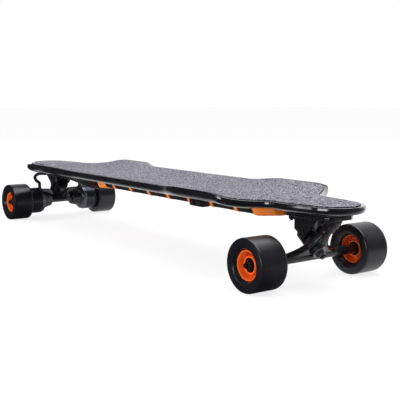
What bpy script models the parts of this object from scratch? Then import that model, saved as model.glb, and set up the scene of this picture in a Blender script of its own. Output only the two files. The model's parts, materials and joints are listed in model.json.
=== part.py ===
"""Electric longboard with a double-ended deck, two steering trucks and two hub motors.

Metres, +Z up, +X towards the nose, +Y to the rider's left. The origin lies on the ground, midway
between the axles. Each truck is modelled once in its own frame (x outboard, towards the deck's end),
and the rear one is turned half a turn about Z.
"""

import math

import bmesh
import bpy
import numpy as np
from mathutils import Matrix, Vector

# Driving dimensions
WHEELBASE = 0.872
WHEEL_RADIUS = 0.0415
WHEEL_WIDTH = 0.047
WHEEL_OUTER_Y = 0.135
WHEEL_MID_Y = WHEEL_OUTER_Y - WHEEL_WIDTH / 2
GAP = 0.0003

DECK_HALF_LENGTH = 0.5316
DECK_TOP = 0.1274
DECK_THICKNESS = 0.0134
DECK_BOTTOM = DECK_TOP - DECK_THICKNESS
WAIST_HALF = 0.0958
LOBE_HALF = 0.1224
NECK_HALF = 0.0593
NOSE_HALF = 0.045
LOBE_START, LOBE_FULL = 0.1609, 0.2347
NECK_START, NECK_FULL = 0.3413, 0.4096
FLAT_HALF = 0.030
EDGE_LIFT = 0.0111
LIFT_END, LIFT_RUN = 0.42, 0.10
GRIP_INSET = 0.008
GRIP_THICKNESS = 0.001
GRIP_GAP = 0.0005

# Steering geometry in the truck's frame: x outboard from the axle, z above the ground
STEER_ANGLE = math.radians(50)
RING_CENTRE = Vector((0.0105, 0, 0.0575))
PIVOT_DISTANCE = 0.045
RING_RADIUS, RING_HALF, RING_BORE = 0.0162, 0.0045, 0.0088
SEAT_RADIUS = 0.0142
SEAT_DISTANCE = 0.0145
KINGPIN_RADIUS = 0.005
KINGPIN_HEAD = 0.0055
BUSHING_RADIUS = 0.0133
ROADSIDE_BUSHING = 0.0074
WASHER_THICKNESS = 0.0012
KINGPIN_NUT = 0.007

RISER_THICKNESS = 0.003
BASE_TOP = DECK_BOTTOM - RISER_THICKNESS - 2 * GAP
FLANGE_THICKNESS = 0.0065
FLANGE_INBOARD, FLANGE_OUTBOARD = -0.036, 0.066
FLANGE_HALF = 0.0278
BOLT_X = (-0.022, 0.0415)
BOLT_Y = 0.0206
BOLT_RADIUS = 0.0025
BOLT_HEAD_RADIUS = 0.0049
BOLT_SIDES = 8

AXLE_RADIUS = 0.004
AXLE_END_Y = 0.1332
AXLE_TUBE_RADIUS = 0.008
BEARING_OUTER = 0.011
BEARING_HALF = 0.012
AXLE_NUT_LENGTH = 0.006
CORE_RADIUS = 0.0230

MOTOR_RADIUS = 0.0305
MOTOR_INNER_Y = 0.0600
MOTOR_OUTER_Y = 0.0875
BELL_INNER_Y = 0.0483
BELL_NECK_RADIUS = 0.0230
MOTOR_TUBE_RADIUS = 0.0195
CLAMP_RADIUS = 0.0220
CABLE_RADIUS = 0.0038
GLAND_Y = 0.0540
GLAND_RADIUS = 0.0048
GLAND_TOP = WHEEL_RADIUS + 0.0290

# Under-deck enclosure, along x
TRAY_REAR, TRAY_FRONT = -0.128, 0.372
REAR_CAP_FRONT = -0.095
CAP_END = 0.3985
RIB_FIRST, RIB_PITCH, RIB_COUNT = -0.060, 0.0647, 7
RIB_HALF = 0.0035
SIDE_TOP_Y, SIDE_LOW_Y, FLOOR_Y = 0.072, 0.060, 0.030
SIDE_LOW_Z, FLOOR_Z = 0.1065, 0.0995
COVER_INSET, COVER_THICKNESS = 0.0008, 0.0018
TRAY_THICKNESS = 0.0015

# Port block on one segment cover, counted from 0 at the tail, facing -Y
PORT_COVER = 5
BLOCK_FACE_Y, BLOCK_BACK_Y = -0.078, -0.062
BLOCK_X = (0.2205, 0.2580)
BLOCK_BOTTOM = 0.1030
PORT_X, BUTTON_X = 0.2463, 0.2290
PORT_Z = 0.1092
PORT_RADIUS, PORT_BORE = 0.0047, 0.0035
PORT_DEPTH = 0.0075
BUTTON_RADIUS, BUTTON_LENGTH, BUTTON_PROUD = 0.0040, 0.0045, 0.0016
BUTTON_TRAVEL = 0.0012
HINGE_X = 0.2545
CAP_THICKNESS = 0.0014
BARREL_RADIUS, HINGE_PIN_RADIUS = 0.0015, 0.0006

HOUSING_REAR, HOUSING_FRONT = -0.375, -0.1345

SIDE_ON = Matrix.Rotation(math.radians(90), 4, "X")
FACING_X = Matrix(((0, 0, 1, 0), (1, 0, 0, 0), (0, 1, 0, 0), (0, 0, 0, 1)))

COLOURS = {
    "lacquered_board": ((0.012, 0.012, 0.015), 0.22, 0.0),
    "grip_grit": ((0.20, 0.19, 0.23), 0.95, 0.0),
    "orange_rubber": ((0.80, 0.16, 0.02), 0.45, 0.0),
    "black_plastic": ((0.018, 0.018, 0.022), 0.35, 0.0),
    "cell_wrap": ((0.05, 0.09, 0.22), 0.5, 0.0),
    "circuit_board": ((0.02, 0.14, 0.06), 0.5, 0.0),
    "black_metal": ((0.02, 0.02, 0.024), 0.35, 0.6),
    "steel": ((0.55, 0.55, 0.57), 0.3, 1.0),
    "bushing_urethane": ((0.03, 0.03, 0.035), 0.5, 0.0),
    "tyre_urethane": ((0.035, 0.035, 0.045), 0.5, 0.0),
    "core_orange": ((0.85, 0.14, 0.01), 0.35, 0.0),
    "motor_shell": ((0.16, 0.15, 0.21), 0.3, 0.8),
    "copper_winding": ((0.45, 0.16, 0.06), 0.4, 0.9),
    "cable_rubber": ((0.015, 0.015, 0.016), 0.6, 0.0),
}


def new_collection(name):
    made = bpy.data.collections.new(name)
    bpy.context.scene.collection.children.link(made)
    return made


def material(name):
    made = bpy.data.materials.get(name)
    if made:
        return made
    colour, roughness, metallic = COLOURS[name]
    made = bpy.data.materials.new(name)
    made.use_nodes = True
    shader = made.node_tree.nodes["Principled BSDF"]
    shader.inputs["Base Color"].default_value = (*colour, 1)
    shader.inputs["Roughness"].default_value = roughness
    shader.inputs["Metallic"].default_value = metallic
    made.diffuse_color = (*colour, 1)
    return made


def smoothed(mesh, sharp_degrees=35):
    mesh.shade_smooth()
    mesh.set_sharp_from_angle(angle=math.radians(sharp_degrees))
    return mesh


def place(name, mesh, look, parent=None, location=(0, 0, 0), rotation=(0, 0, 0)):
    """One named piece of the board."""
    mesh.materials.clear()
    mesh.materials.append(material(look))
    made = bpy.data.objects.new(name, mesh)
    board.objects.link(made)
    made.parent = parent
    made.location = location
    made.rotation_euler = rotation
    return made


def helper(mesh, parent=None, location=(0, 0, 0), rotation=(0, 0, 0)):
    """A solid that is only cut from, or joined into, a piece."""
    made = bpy.data.objects.new("helper_solid", mesh)
    helpers.objects.link(made)
    made.hide_render = True
    made.display_type = "WIRE"
    made.parent = parent
    made.location = location
    made.rotation_euler = rotation
    return made


def combine(piece, other, operation):
    step = piece.modifiers.new(operation.title(), "BOOLEAN")
    step.operation = operation
    step.object = other


def join(piece, *others):
    for other in others:
        combine(piece, other, "UNION")


def cut(piece, *others):
    for other in others:
        combine(piece, other, "DIFFERENCE")


def bevel(piece, width, segments=2):
    """Rounds the sharp edges, after joining the triangles of each flat face."""
    shape = bmesh.new()
    shape.from_mesh(piece.data)
    bmesh.ops.dissolve_limit(shape, angle_limit=math.radians(0.5), verts=shape.verts, edges=shape.edges)
    shape.to_mesh(piece.data)
    shape.free()
    step = piece.modifiers.new("Rounded edges", "BEVEL")
    step.width = width
    step.segments = segments
    step.limit_method = "ANGLE"
    step.angle_limit = math.radians(35)


def to_mesh(name, data):
    """The mesh of a curve, with its caps welded on."""
    temporary = bpy.data.objects.new(name, data)
    helpers.objects.link(temporary)
    bpy.context.view_layer.update()
    evaluated = temporary.evaluated_get(bpy.context.evaluated_depsgraph_get())
    mesh = bpy.data.meshes.new_from_object(evaluated)
    bpy.data.objects.remove(temporary)
    shape = bmesh.new()
    shape.from_mesh(mesh)
    bmesh.ops.remove_doubles(shape, verts=shape.verts, dist=1e-6)
    bmesh.ops.recalc_face_normals(shape, faces=shape.faces)
    shape.to_mesh(mesh)
    shape.free()
    return mesh


def plate(name, outlines, thickness, turn=None, shift=(0, 0, 0)):
    """A flat outline, with further outlines as its holes, given a thickness along its normal."""
    data = bpy.data.curves.new(name, "CURVE")
    data.dimensions = "2D"
    data.fill_mode = "BOTH"
    data.extrude = thickness / 2
    for outline in outlines:
        spline = data.splines.new("POLY")
        spline.points.add(len(outline) - 1)
        for point, (x, y) in zip(spline.points, outline, strict=True):
            point.co = (x, y, 0, 1)
        spline.use_cyclic_u = True
    mesh = to_mesh(name, data)
    mesh.transform(Matrix.Translation(shift) @ (turn or Matrix.Identity(4)))
    return mesh


def circle(radius, count, centre=(0, 0), start=0.0):
    turns = [start + 2 * math.pi * i / count for i in range(count)]
    return [(centre[0] + radius * math.cos(t), centre[1] + radius * math.sin(t)) for t in turns]


def rounded_box_outline(x0, x1, half, radius, steps=2):
    """A rectangle from x0 to x1 and -half to half with round corners."""
    outline = []
    corners = ((x1, half, 0), (x0, half, 1), (x0, -half, 2), (x1, -half, 3))
    for x, y, quarter in corners:
        cx = x - math.copysign(radius, x - (x0 + x1) / 2)
        cy = y - math.copysign(radius, y)
        for i in range(steps + 1):
            t = math.radians(90) * (quarter + i / steps)
            outline.append((cx + radius * math.cos(t), cy + radius * math.sin(t)))
    return outline


def turned(profile, segments, closed=True):
    """A profile of (radius, height) turned about Z, listed down the outer side first."""
    shape = bmesh.new()
    points = [shape.verts.new((r, 0, z)) for r, z in profile]
    for a, b in zip(points, points[1:], strict=False):
        shape.edges.new((a, b))
    if closed:
        shape.edges.new((points[-1], points[0]))
    mesh = bpy.data.meshes.new("turned")
    shape.to_mesh(mesh)
    shape.free()
    temporary = bpy.data.objects.new("turned", mesh)
    helpers.objects.link(temporary)
    step = temporary.modifiers.new("Turn", "SCREW")
    step.steps = segments
    step.render_steps = segments
    step.use_merge_vertices = True
    step.merge_threshold = 1e-6
    bpy.context.view_layer.update()
    evaluated = temporary.evaluated_get(bpy.context.evaluated_depsgraph_get())
    made = bpy.data.meshes.new_from_object(evaluated)
    bpy.data.objects.remove(temporary)
    return smoothed(made)


def rod(radius, low, high, segments, chamfer=0.0):
    """A round bar along Z, with chamfered ends if a chamfer is given."""
    if not chamfer:
        return turned([(0, high), (radius, high), (radius, low), (0, low)], segments, closed=False)
    profile = [
        (0, high),
        (radius - chamfer, high),
        (radius, high - chamfer),
        (radius, low + chamfer),
        (radius - chamfer, low),
        (0, low),
    ]
    return turned(profile, segments, closed=False)


def box(x0, x1, y0, y1, z0, z1):
    shape = bmesh.new()
    bmesh.ops.create_cube(shape, size=1)
    scale = Matrix.Diagonal((x1 - x0, y1 - y0, z1 - z0, 1))
    middle = Matrix.Translation(((x0 + x1) / 2, (y0 + y1) / 2, (z0 + z1) / 2))
    shape.transform(middle @ scale)
    mesh = bpy.data.meshes.new("box")
    shape.to_mesh(mesh)
    shape.free()
    return mesh


def joined_meshes(meshes):
    """Separate closed shells in one mesh, for a cutter."""
    shape = bmesh.new()
    for mesh in meshes:
        shape.from_mesh(mesh)
    made = bpy.data.meshes.new("shells")
    shape.to_mesh(made)
    shape.free()
    return made


def lofted(sections):
    """A closed solid through sections along x, each a list of (x, y, z) with the same count."""
    shape = bmesh.new()
    rings = [[shape.verts.new(p) for p in section] for section in sections]
    for one, two in zip(rings, rings[1:], strict=False):
        count = len(one)
        for i in range(count):
            j = (i + 1) % count
            shape.faces.new((one[i], one[j], two[j], two[i]))
    shape.faces.new(list(reversed(rings[0])))
    shape.faces.new(rings[-1])
    bmesh.ops.recalc_face_normals(shape, faces=shape.faces)
    mesh = bpy.data.meshes.new("lofted")
    shape.to_mesh(mesh)
    shape.free()
    return mesh


def moved(mesh, shift):
    mesh.transform(Matrix.Translation(shift))
    return mesh


# Deck shape


def ease(t):
    t = min(max(t, 0.0), 1.0)
    return t * t * (3 - 2 * t)


def deck_half_width(x):
    """Half the deck's width: waist, lobe ahead of it, neck at the wheels, round nose."""
    a = abs(x)
    half = WAIST_HALF
    half += (LOBE_HALF - WAIST_HALF) * ease((a - LOBE_START) / (LOBE_FULL - LOBE_START))
    half += (NECK_HALF - LOBE_HALF) * ease((a - NECK_START) / (NECK_FULL - NECK_START))
    half += (NOSE_HALF - NECK_HALF) * ease((a - NECK_FULL) / (DECK_HALF_LENGTH - NECK_FULL))
    into_nose = min(max(a - (DECK_HALF_LENGTH - NOSE_HALF), 0.0), NOSE_HALF)
    return half - NOSE_HALF + math.sqrt(NOSE_HALF**2 - into_nose**2)


def deck_lift(x, y):
    """Height of the concave above the flat middle, fading out before the trucks."""
    rise = max(abs(y) - FLAT_HALF, 0.0) / (LOBE_HALF - FLAT_HALF)
    return EDGE_LIFT * rise**2 * ease((LIFT_END - abs(x)) / LIFT_RUN)


def deck_under(x, y):
    return DECK_BOTTOM + deck_lift(x, y)


def outline_stations():
    """Places along x, from tail to nose, closer where the outline turns."""
    spans = (
        (0, LOBE_START, 2),
        (LOBE_START, LOBE_FULL, 3),
        (LOBE_FULL, LIFT_END - LIFT_RUN, 1),
        (LIFT_END - LIFT_RUN, NECK_START, 1),
        (NECK_START, NECK_FULL, 6),
        (NECK_FULL, DECK_HALF_LENGTH - NOSE_HALF, 2),
    )
    half = [0.0]
    for start, end, count in spans:
        half += [start + (end - start) * (i + 1) / count for i in range(count)]
    arc_steps = 5
    nose = DECK_HALF_LENGTH - NOSE_HALF
    half += [nose + NOSE_HALF * math.sin(math.radians(90) * (i + 1) / arc_steps) for i in range(arc_steps)]
    return [-a for a in reversed(half[1:])] + half


def outline_slope(x):
    step = 1e-4
    low, high = max(x - step, -DECK_HALF_LENGTH), min(x + step, DECK_HALF_LENGTH)
    return (deck_half_width(high) - deck_half_width(low)) / (high - low)


def inset_outline(inset):
    """Points (x, y) of the outline's left half, from tail tip to nose tip, moved in square to it."""
    points = []
    for x in outline_stations():
        if abs(x) > DECK_HALF_LENGTH - 1e-9:
            points.append((math.copysign(DECK_HALF_LENGTH - inset, x), 0.0))
            continue
        slope = outline_slope(x)
        length = math.hypot(1, slope)
        points.append((x + inset * slope / length, deck_half_width(x) - inset / length))
    return points


def inner_row(station, rim_x, rim_y):
    """Where a row of the top or bottom face lies: its x and its two columns' y, the same in every
    layer as long as the board is concave there."""
    if abs(station) >= LIFT_END:
        return rim_x, 0.72 * rim_y, min(FLAT_HALF, 0.45 * rim_y)
    border = 0.016 * math.hypot(1, outline_slope(station))
    return station, deck_half_width(station) - border, FLAT_HALF


def deck_layer(rings):
    """A board-shaped solid. Each ring is (inset from the outline, height over the deck's top), from
    the top face's rim down the side to the bottom face's rim."""
    shape = bmesh.new()

    def corner(x, y, height):
        return shape.verts.new((x, y, DECK_TOP + deck_lift(x, y) + height))

    loops = []
    for inset, height in rings:
        left = [corner(x, y, height) for x, y in inset_outline(inset)]
        right = [corner(x, -y, height) for x, y in inset_outline(inset)[1:-1]]
        loops.append((left, right))
    for (left_a, right_a), (left_b, right_b) in zip(loops, loops[1:], strict=False):
        ring_a = left_a + list(reversed(right_a))
        ring_b = left_b + list(reversed(right_b))
        for i in range(len(ring_a)):
            j = (i + 1) % len(ring_a)
            shape.faces.new((ring_a[i], ring_a[j], ring_b[j], ring_b[i]))
    for (left, right), (_, height) in ((loops[0], rings[0]), (loops[-1], rings[-1])):
        rows = []
        for i in range(1, len(left) - 1):
            x, outer, flat = inner_row(outline_stations()[i], left[i].co.x, left[i].co.y)
            columns = (outer, (outer + flat) / 2, flat)
            row = [left[i]]
            row += [corner(x, y, height) for y in columns]
            row += [corner(x, -y, height) for y in reversed(columns)]
            row.append(right[i - 1])
            rows.append(row)
        for one, two in zip(rows, rows[1:], strict=False):
            for i in range(len(one) - 1):
                shape.faces.new((one[i], one[i + 1], two[i + 1], two[i]))
        for tip, row in ((left[0], rows[0]), (left[-1], rows[-1])):
            for i in range(len(row) - 1):
                shape.faces.new((tip, row[i], row[i + 1]))
    bmesh.ops.recalc_face_normals(shape, faces=shape.faces)
    mesh = bpy.data.meshes.new("layer")
    shape.to_mesh(mesh)
    shape.free()
    return smoothed(mesh, 25)


def make_deck():
    rings = (
        (0.0030, 0.0),
        (0.0, -0.0022),
        (0.0, -0.0070),
        (0.0030, -0.0105),
        (0.0120, -DECK_THICKNESS),
    )
    return place("deck", deck_layer(rings), "lacquered_board")


def make_grip():
    rings = ((GRIP_INSET, GRIP_GAP + GRIP_THICKNESS), (GRIP_INSET, GRIP_GAP))
    return place("grip_tape", deck_layer(rings), "grip_grit")


# Enclosure under the deck


def tray_path(x, inset, drop=0.0, squeeze=0.0):
    """Half of the enclosure's section at x, as (y, z) from the deck down to the flat floor. The drop
    lowers the floor and the squeeze narrows the section."""
    slope = math.atan2(SIDE_TOP_Y - SIDE_LOW_Y, deck_under(x, SIDE_TOP_Y) - SIDE_LOW_Z)
    side = inset / math.cos(slope)
    top = SIDE_TOP_Y - side - squeeze
    low = SIDE_LOW_Y - squeeze - inset * 0.7
    floor = FLOOR_Y - squeeze * 0.5 - inset * 0.3
    return [
        (top, deck_under(x, top) - GAP),
        (low, SIDE_LOW_Z - drop + inset * 0.8),
        (floor, FLOOR_Z - drop + inset),
    ]


def tray_ring(x, outer, inner):
    """A C-shaped section between two insets, as 3D points."""
    out = tray_path(x, outer)
    back = tray_path(x, inner)
    loop = out + [(-y, z) for y, z in reversed(out)]
    loop += [(-y, z) for y, z in back] + list(reversed(back))
    return [(x, y, z) for y, z in loop]


def rib_centres():
    return [RIB_FIRST + RIB_PITCH * k for k in range(RIB_COUNT)]


def cover_spans():
    """The x spans of the segment covers, between the rear cap, the ribs and the front cap."""
    starts = [REAR_CAP_FRONT] + [x + RIB_HALF for x in rib_centres()]
    ends = [x - RIB_HALF for x in rib_centres()] + [TRAY_FRONT - 0.001]
    return [(a + GAP, b - GAP) for a, b in zip(starts, ends, strict=True)]


def end_block(stations):
    """A solid end cap: stations of (x, drop, squeeze), closed along the deck's underside."""
    sections = []
    for x, drop, squeeze in stations:
        half = tray_path(x, 0.0, drop, squeeze)
        top_y, top_z = half[0]
        half[0] = (top_y, top_z - GAP)
        arch = [top_y * f for f in (0.85, 0.65, 0.42)]
        lid = [(y, deck_under(x, y) - 2 * GAP) for y in arch]
        right = [(-y, z) for y, z in half]
        loop = half + list(reversed(right)) + [(-y, z) for y, z in lid] + list(reversed(lid))
        sections.append([(x, y, z) for y, z in loop])
    return lofted(sections)


def trough(x, inset, top):
    """A solid section that fills the enclosure from its floor up to a flat top."""
    _, low, floor = tray_path(x, inset)
    half = [(low[0], top), low, floor]
    return [(x, y, z) for y, z in half + [(-y, z) for y, z in reversed(half)]]


def make_tray():
    skin = COVER_INSET + COVER_THICKNESS + GAP
    inner = skin + TRAY_THICKNESS
    slant = 0.0006
    stations = [(TRAY_REAR + 0.004, skin)]
    for centre in rib_centres():
        stations.append((centre - RIB_HALF, skin))
        stations.append((centre - RIB_HALF + slant, 0.0))
        stations.append((centre + RIB_HALF - slant, 0.0))
        stations.append((centre + RIB_HALF, skin))
    stations.append((TRAY_FRONT + 0.004, skin))
    tray = place("flex_battery_tray", lofted([tray_ring(x, d, inner) for x, d in stations]), "orange_rubber")
    rear = end_block(
        (
            (TRAY_REAR, 0.0022, 0.001),
            (TRAY_REAR + 0.006, 0.0030, 0.0),
            (REAR_CAP_FRONT - 0.003, 0.0012, 0.0),
            (REAR_CAP_FRONT, 0.0, 0.0005),
        )
    )
    rear_cap = helper(rear)
    room = [trough(x, inner + 0.0004, 0.13) for x in (TRAY_REAR + 0.008, REAR_CAP_FRONT + 0.01)]
    cut(rear_cap, helper(lofted(room)))
    front = end_block(
        (
            (TRAY_FRONT - 0.001, 0.0030, 0.001),
            (TRAY_FRONT + 0.004, 0.0036, 0.0),
            (TRAY_FRONT + 0.014, 0.0030, 0.014),
            (CAP_END - 0.003, 0.0010, 0.034),
            (CAP_END, -0.0030, 0.0395),
        )
    )
    join(tray, rear_cap, helper(front))
    return tray


def make_covers():
    covers = []
    for number, (start, end) in enumerate(cover_spans(), 1):
        rings = [
            tray_ring(x, COVER_INSET, COVER_INSET + COVER_THICKNESS)
            for x in (start, (start + end) / 2, end)
        ]
        covers.append(place(f"segment_cover_{number}", lofted(rings), "black_plastic"))
    return covers


def make_battery():
    """Flat cell packs side by side along the tray, with thinner bridges between them."""
    inset = COVER_INSET + COVER_THICKNESS + GAP + TRAY_THICKNESS + 0.0009
    notch = 0.0015
    edges = [TRAY_REAR + 0.012] + rib_centres() + [TRAY_FRONT - 0.004]
    stations = []
    for start, end in zip(edges, edges[1:], strict=False):
        stations += [(start + notch, 0.0), (end - notch, 0.0)]
        stations += [(end - notch / 2, notch), (end + notch / 2, notch)]
    sections = [trough(x, inset + thinner, DECK_BOTTOM - 2 * GAP - thinner) for x, thinner in stations[:-2]]
    return place("battery_pack", lofted(sections), "cell_wrap")


def housing_ring(x, depth, inset):
    """A section of the controller housing at x, whose floor lies this depth under the deck."""
    floor = DECK_BOTTOM - depth + inset
    top_y, low_y, flat_y = 0.078 - inset, 0.068 - inset, 0.050 - inset
    half = [(top_y, deck_under(x, top_y) - GAP), (low_y, floor + 0.0035), (flat_y, floor)]
    lid = [(y, deck_under(x, y) - GAP) for y in (top_y * 0.85, top_y * 0.65, top_y * 0.4)]
    loop = half + [(-y, z) for y, z in reversed(half)] + [(-y, z) for y, z in lid] + list(reversed(lid))
    return [(x, y, z) for y, z in loop]


HOUSING_DEPTHS = (
    (HOUSING_REAR, 0.0050),
    (-0.366, 0.0085),
    (-0.250, 0.0105),
    (-0.185, 0.0165),
    (-0.150, 0.0200),
    (HOUSING_FRONT, 0.0190),
)


def make_housing():
    """The shell of the drive electronics, open towards the deck."""
    shell = place(
        "controller_housing",
        lofted([housing_ring(x, depth, 0.0) for x, depth in HOUSING_DEPTHS]),
        "black_plastic",
    )
    wall, side_y, floor_y, above_deck = 0.0022, 0.060, 0.046, 0.13
    hollow = []
    for x, depth in HOUSING_DEPTHS[1:-1]:
        floor = DECK_BOTTOM - depth + wall
        half = [(side_y, above_deck), (side_y, floor + 0.003), (floor_y, floor)]
        loop = half + [(-y, z) for y, z in reversed(half)]
        hollow.append([(max(x, HOUSING_REAR + 0.012), y, z) for y, z in loop])
    cut(shell, helper(lofted(hollow)))
    return shell


def make_controller():
    """The drive electronics: a plate with capacitors under its deep end and flat chips on top."""
    low, thick, half = DECK_BOTTOM - 0.0062, 0.0016, 0.047
    body = box(-0.300, -0.153, -half, half, low, low + thick)
    circuit = place("controller_board", body, "circuit_board")
    for y in (-0.035, 0.015):
        join(circuit, helper(box(-0.181, -0.157, y, y + 0.020, low - 0.0068, low + 0.0006)))
    for x in (-0.285, -0.255, -0.225):
        join(circuit, helper(box(x, x + 0.012, -0.036, 0.036, low + 0.0010, low + 0.0046)))


def facing_side(mesh):
    """Turns a piece made along +Z so that it points to -Y."""
    mesh.transform(Matrix.Rotation(math.radians(90), 4, "X"))
    return mesh


def make_port_block(cover):
    """The block with the charge socket and power button, moulded onto one segment cover."""
    top = deck_under(PORT_X, BLOCK_BACK_Y) - 2 * GAP
    block = helper(box(*BLOCK_X, BLOCK_FACE_Y, BLOCK_BACK_Y, BLOCK_BOTTOM, top))
    bevel(block, 0.0012, 1)
    sections = []
    for x in (BLOCK_X[0] - 0.005, BLOCK_X[1] + 0.005):
        half = tray_path(x, COVER_INSET + COVER_THICKNESS / 2)
        half.insert(0, (half[0][0], half[0][1] + 0.01))
        sections.append([(x, y, z) for y, z in half + [(-y, z) for y, z in reversed(half)]])
    cut(block, helper(lofted(sections)))
    join(cover, block)
    lug_out = BLOCK_FACE_Y - GAP - 2 * BARREL_RADIUS
    for low, high in ((PORT_Z + 0.0028, PORT_Z + 0.0044), (PORT_Z - 0.0044, PORT_Z - 0.0028)):
        join(cover, helper(box(HINGE_X - 0.0012, HINGE_X + 0.0012, lug_out, BLOCK_FACE_Y + 0.002, low, high)))
    hinge_y = BLOCK_FACE_Y - GAP - BARREL_RADIUS
    pin = moved(rod(HINGE_PIN_RADIUS, PORT_Z - 0.0035, PORT_Z + 0.0035, 8), (HINGE_X, hinge_y, 0))
    join(cover, helper(pin))
    front = -BLOCK_FACE_Y
    socket = facing_side(rod(PORT_RADIUS + GAP, front - PORT_DEPTH - GAP, front + 0.005, 14))
    button_back = front + BUTTON_PROUD - BUTTON_LENGTH
    well = facing_side(rod(BUTTON_RADIUS + GAP, button_back - BUTTON_TRAVEL - GAP, front + 0.005, 14))
    cut(cover, helper(moved(socket, (PORT_X, 0, PORT_Z))), helper(moved(well, (BUTTON_X, 0, PORT_Z))))

    back = front - PORT_DEPTH
    floor, pin_tip, pin_radius = back + 0.0012, back + 0.0025, 0.0009
    profile = [
        (0, pin_tip),
        (pin_radius, pin_tip),
        (pin_radius, floor),
        (PORT_BORE, floor),
        (PORT_BORE, front),
        (PORT_RADIUS, front),
        (PORT_RADIUS, back),
        (0, back),
    ]
    port = facing_side(turned(profile, 14, closed=False))
    place("charge_port", port, "black_plastic", location=(PORT_X, 0, PORT_Z))

    press = facing_side(rod(BUTTON_RADIUS, 0, BUTTON_LENGTH, 14, 0.0005))
    place("power_button", press, "steel", location=(BUTTON_X, -button_back, PORT_Z))

    disc_y = BLOCK_FACE_Y - GAP - CAP_THICKNESS / 2 - hinge_y
    disc_x = PORT_X - HINGE_X
    disc = plate("cap_disc", [circle(0.0053, 16)], CAP_THICKNESS, SIDE_ON, (disc_x, disc_y, 0))
    cap = place("port_cap", disc, "bushing_urethane", location=(HINGE_X, hinge_y, PORT_Z))
    strap = helper(box(disc_x + 0.002, 0, disc_y - 0.0005, disc_y + 0.0005, -0.0022, 0.0022), cap)
    barrel = helper(rod(BARREL_RADIUS, -0.0025, 0.0025, 10), cap)
    join(cap, strap, barrel)
    cut(cap, helper(rod(HINGE_PIN_RADIUS + GAP, -0.01, 0.01, 8), cap))


# Trucks


def steer_frame(truck, name):
    """An empty at the ring's centre, with its Z along the steering axis and X along the kingpin."""
    frame = bpy.data.objects.new(name, None)
    board.objects.link(frame)
    frame.parent = truck
    frame.location = RING_CENTRE
    frame.rotation_euler = (0, math.radians(90) - STEER_ANGLE, 0)
    return frame


ALONG_KINGPIN = (0, math.radians(90), 0)


def axle_in_frame():
    """The axle's place in the steering frame, as (along the kingpin, along the steering axis)."""
    away = Vector((0, 0, WHEEL_RADIUS)) - RING_CENTRE
    pin = Vector((math.sin(STEER_ANGLE), 0, -math.cos(STEER_ANGLE)))
    steer = Vector((math.cos(STEER_ANGLE), 0, math.sin(STEER_ANGLE)))
    return away.dot(pin), away.dot(steer)


def bolt_shape():
    """A deck bolt with its nut, about Z."""
    top = DECK_TOP - GAP
    low = BASE_TOP - FLANGE_THICKNESS - 0.0080
    profile = [
        (0, top),
        (BOLT_HEAD_RADIUS, top),
        (BOLT_RADIUS, top - 0.0027),
        (BOLT_RADIUS, low),
        (0, low),
    ]
    return turned(profile, BOLT_SIDES, closed=False)


def bolt_places():
    return [(x, y) for x in BOLT_X for y in (-BOLT_Y, BOLT_Y)]


def bolt_holes(truck):
    """Clearance holes for the four deck bolts, with room for their heads, as one cutter."""
    seat = DECK_TOP - 0.0030 - GAP
    wide, tight = BOLT_HEAD_RADIUS + GAP, BOLT_RADIUS + GAP
    profile = [(0, 0.140), (wide, 0.140), (wide, seat + 0.0024), (tight, seat), (tight, 0.090), (0, 0.090)]
    shells = [moved(turned(profile, BOLT_SIDES, closed=False), (x, y, 0)) for x, y in bolt_places()]
    return helper(joined_meshes(shells), truck)


def make_riser(end, truck, holes):
    outline = rounded_box_outline(FLANGE_INBOARD, FLANGE_OUTBOARD, FLANGE_HALF, 0.010)
    middle = DECK_BOTTOM - GAP - RISER_THICKNESS / 2
    mesh = plate("riser", [outline], RISER_THICKNESS, shift=(0, 0, middle))
    riser = place(f"{end}_riser", mesh, "bushing_urethane", truck)
    cut(riser, holes)


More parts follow.
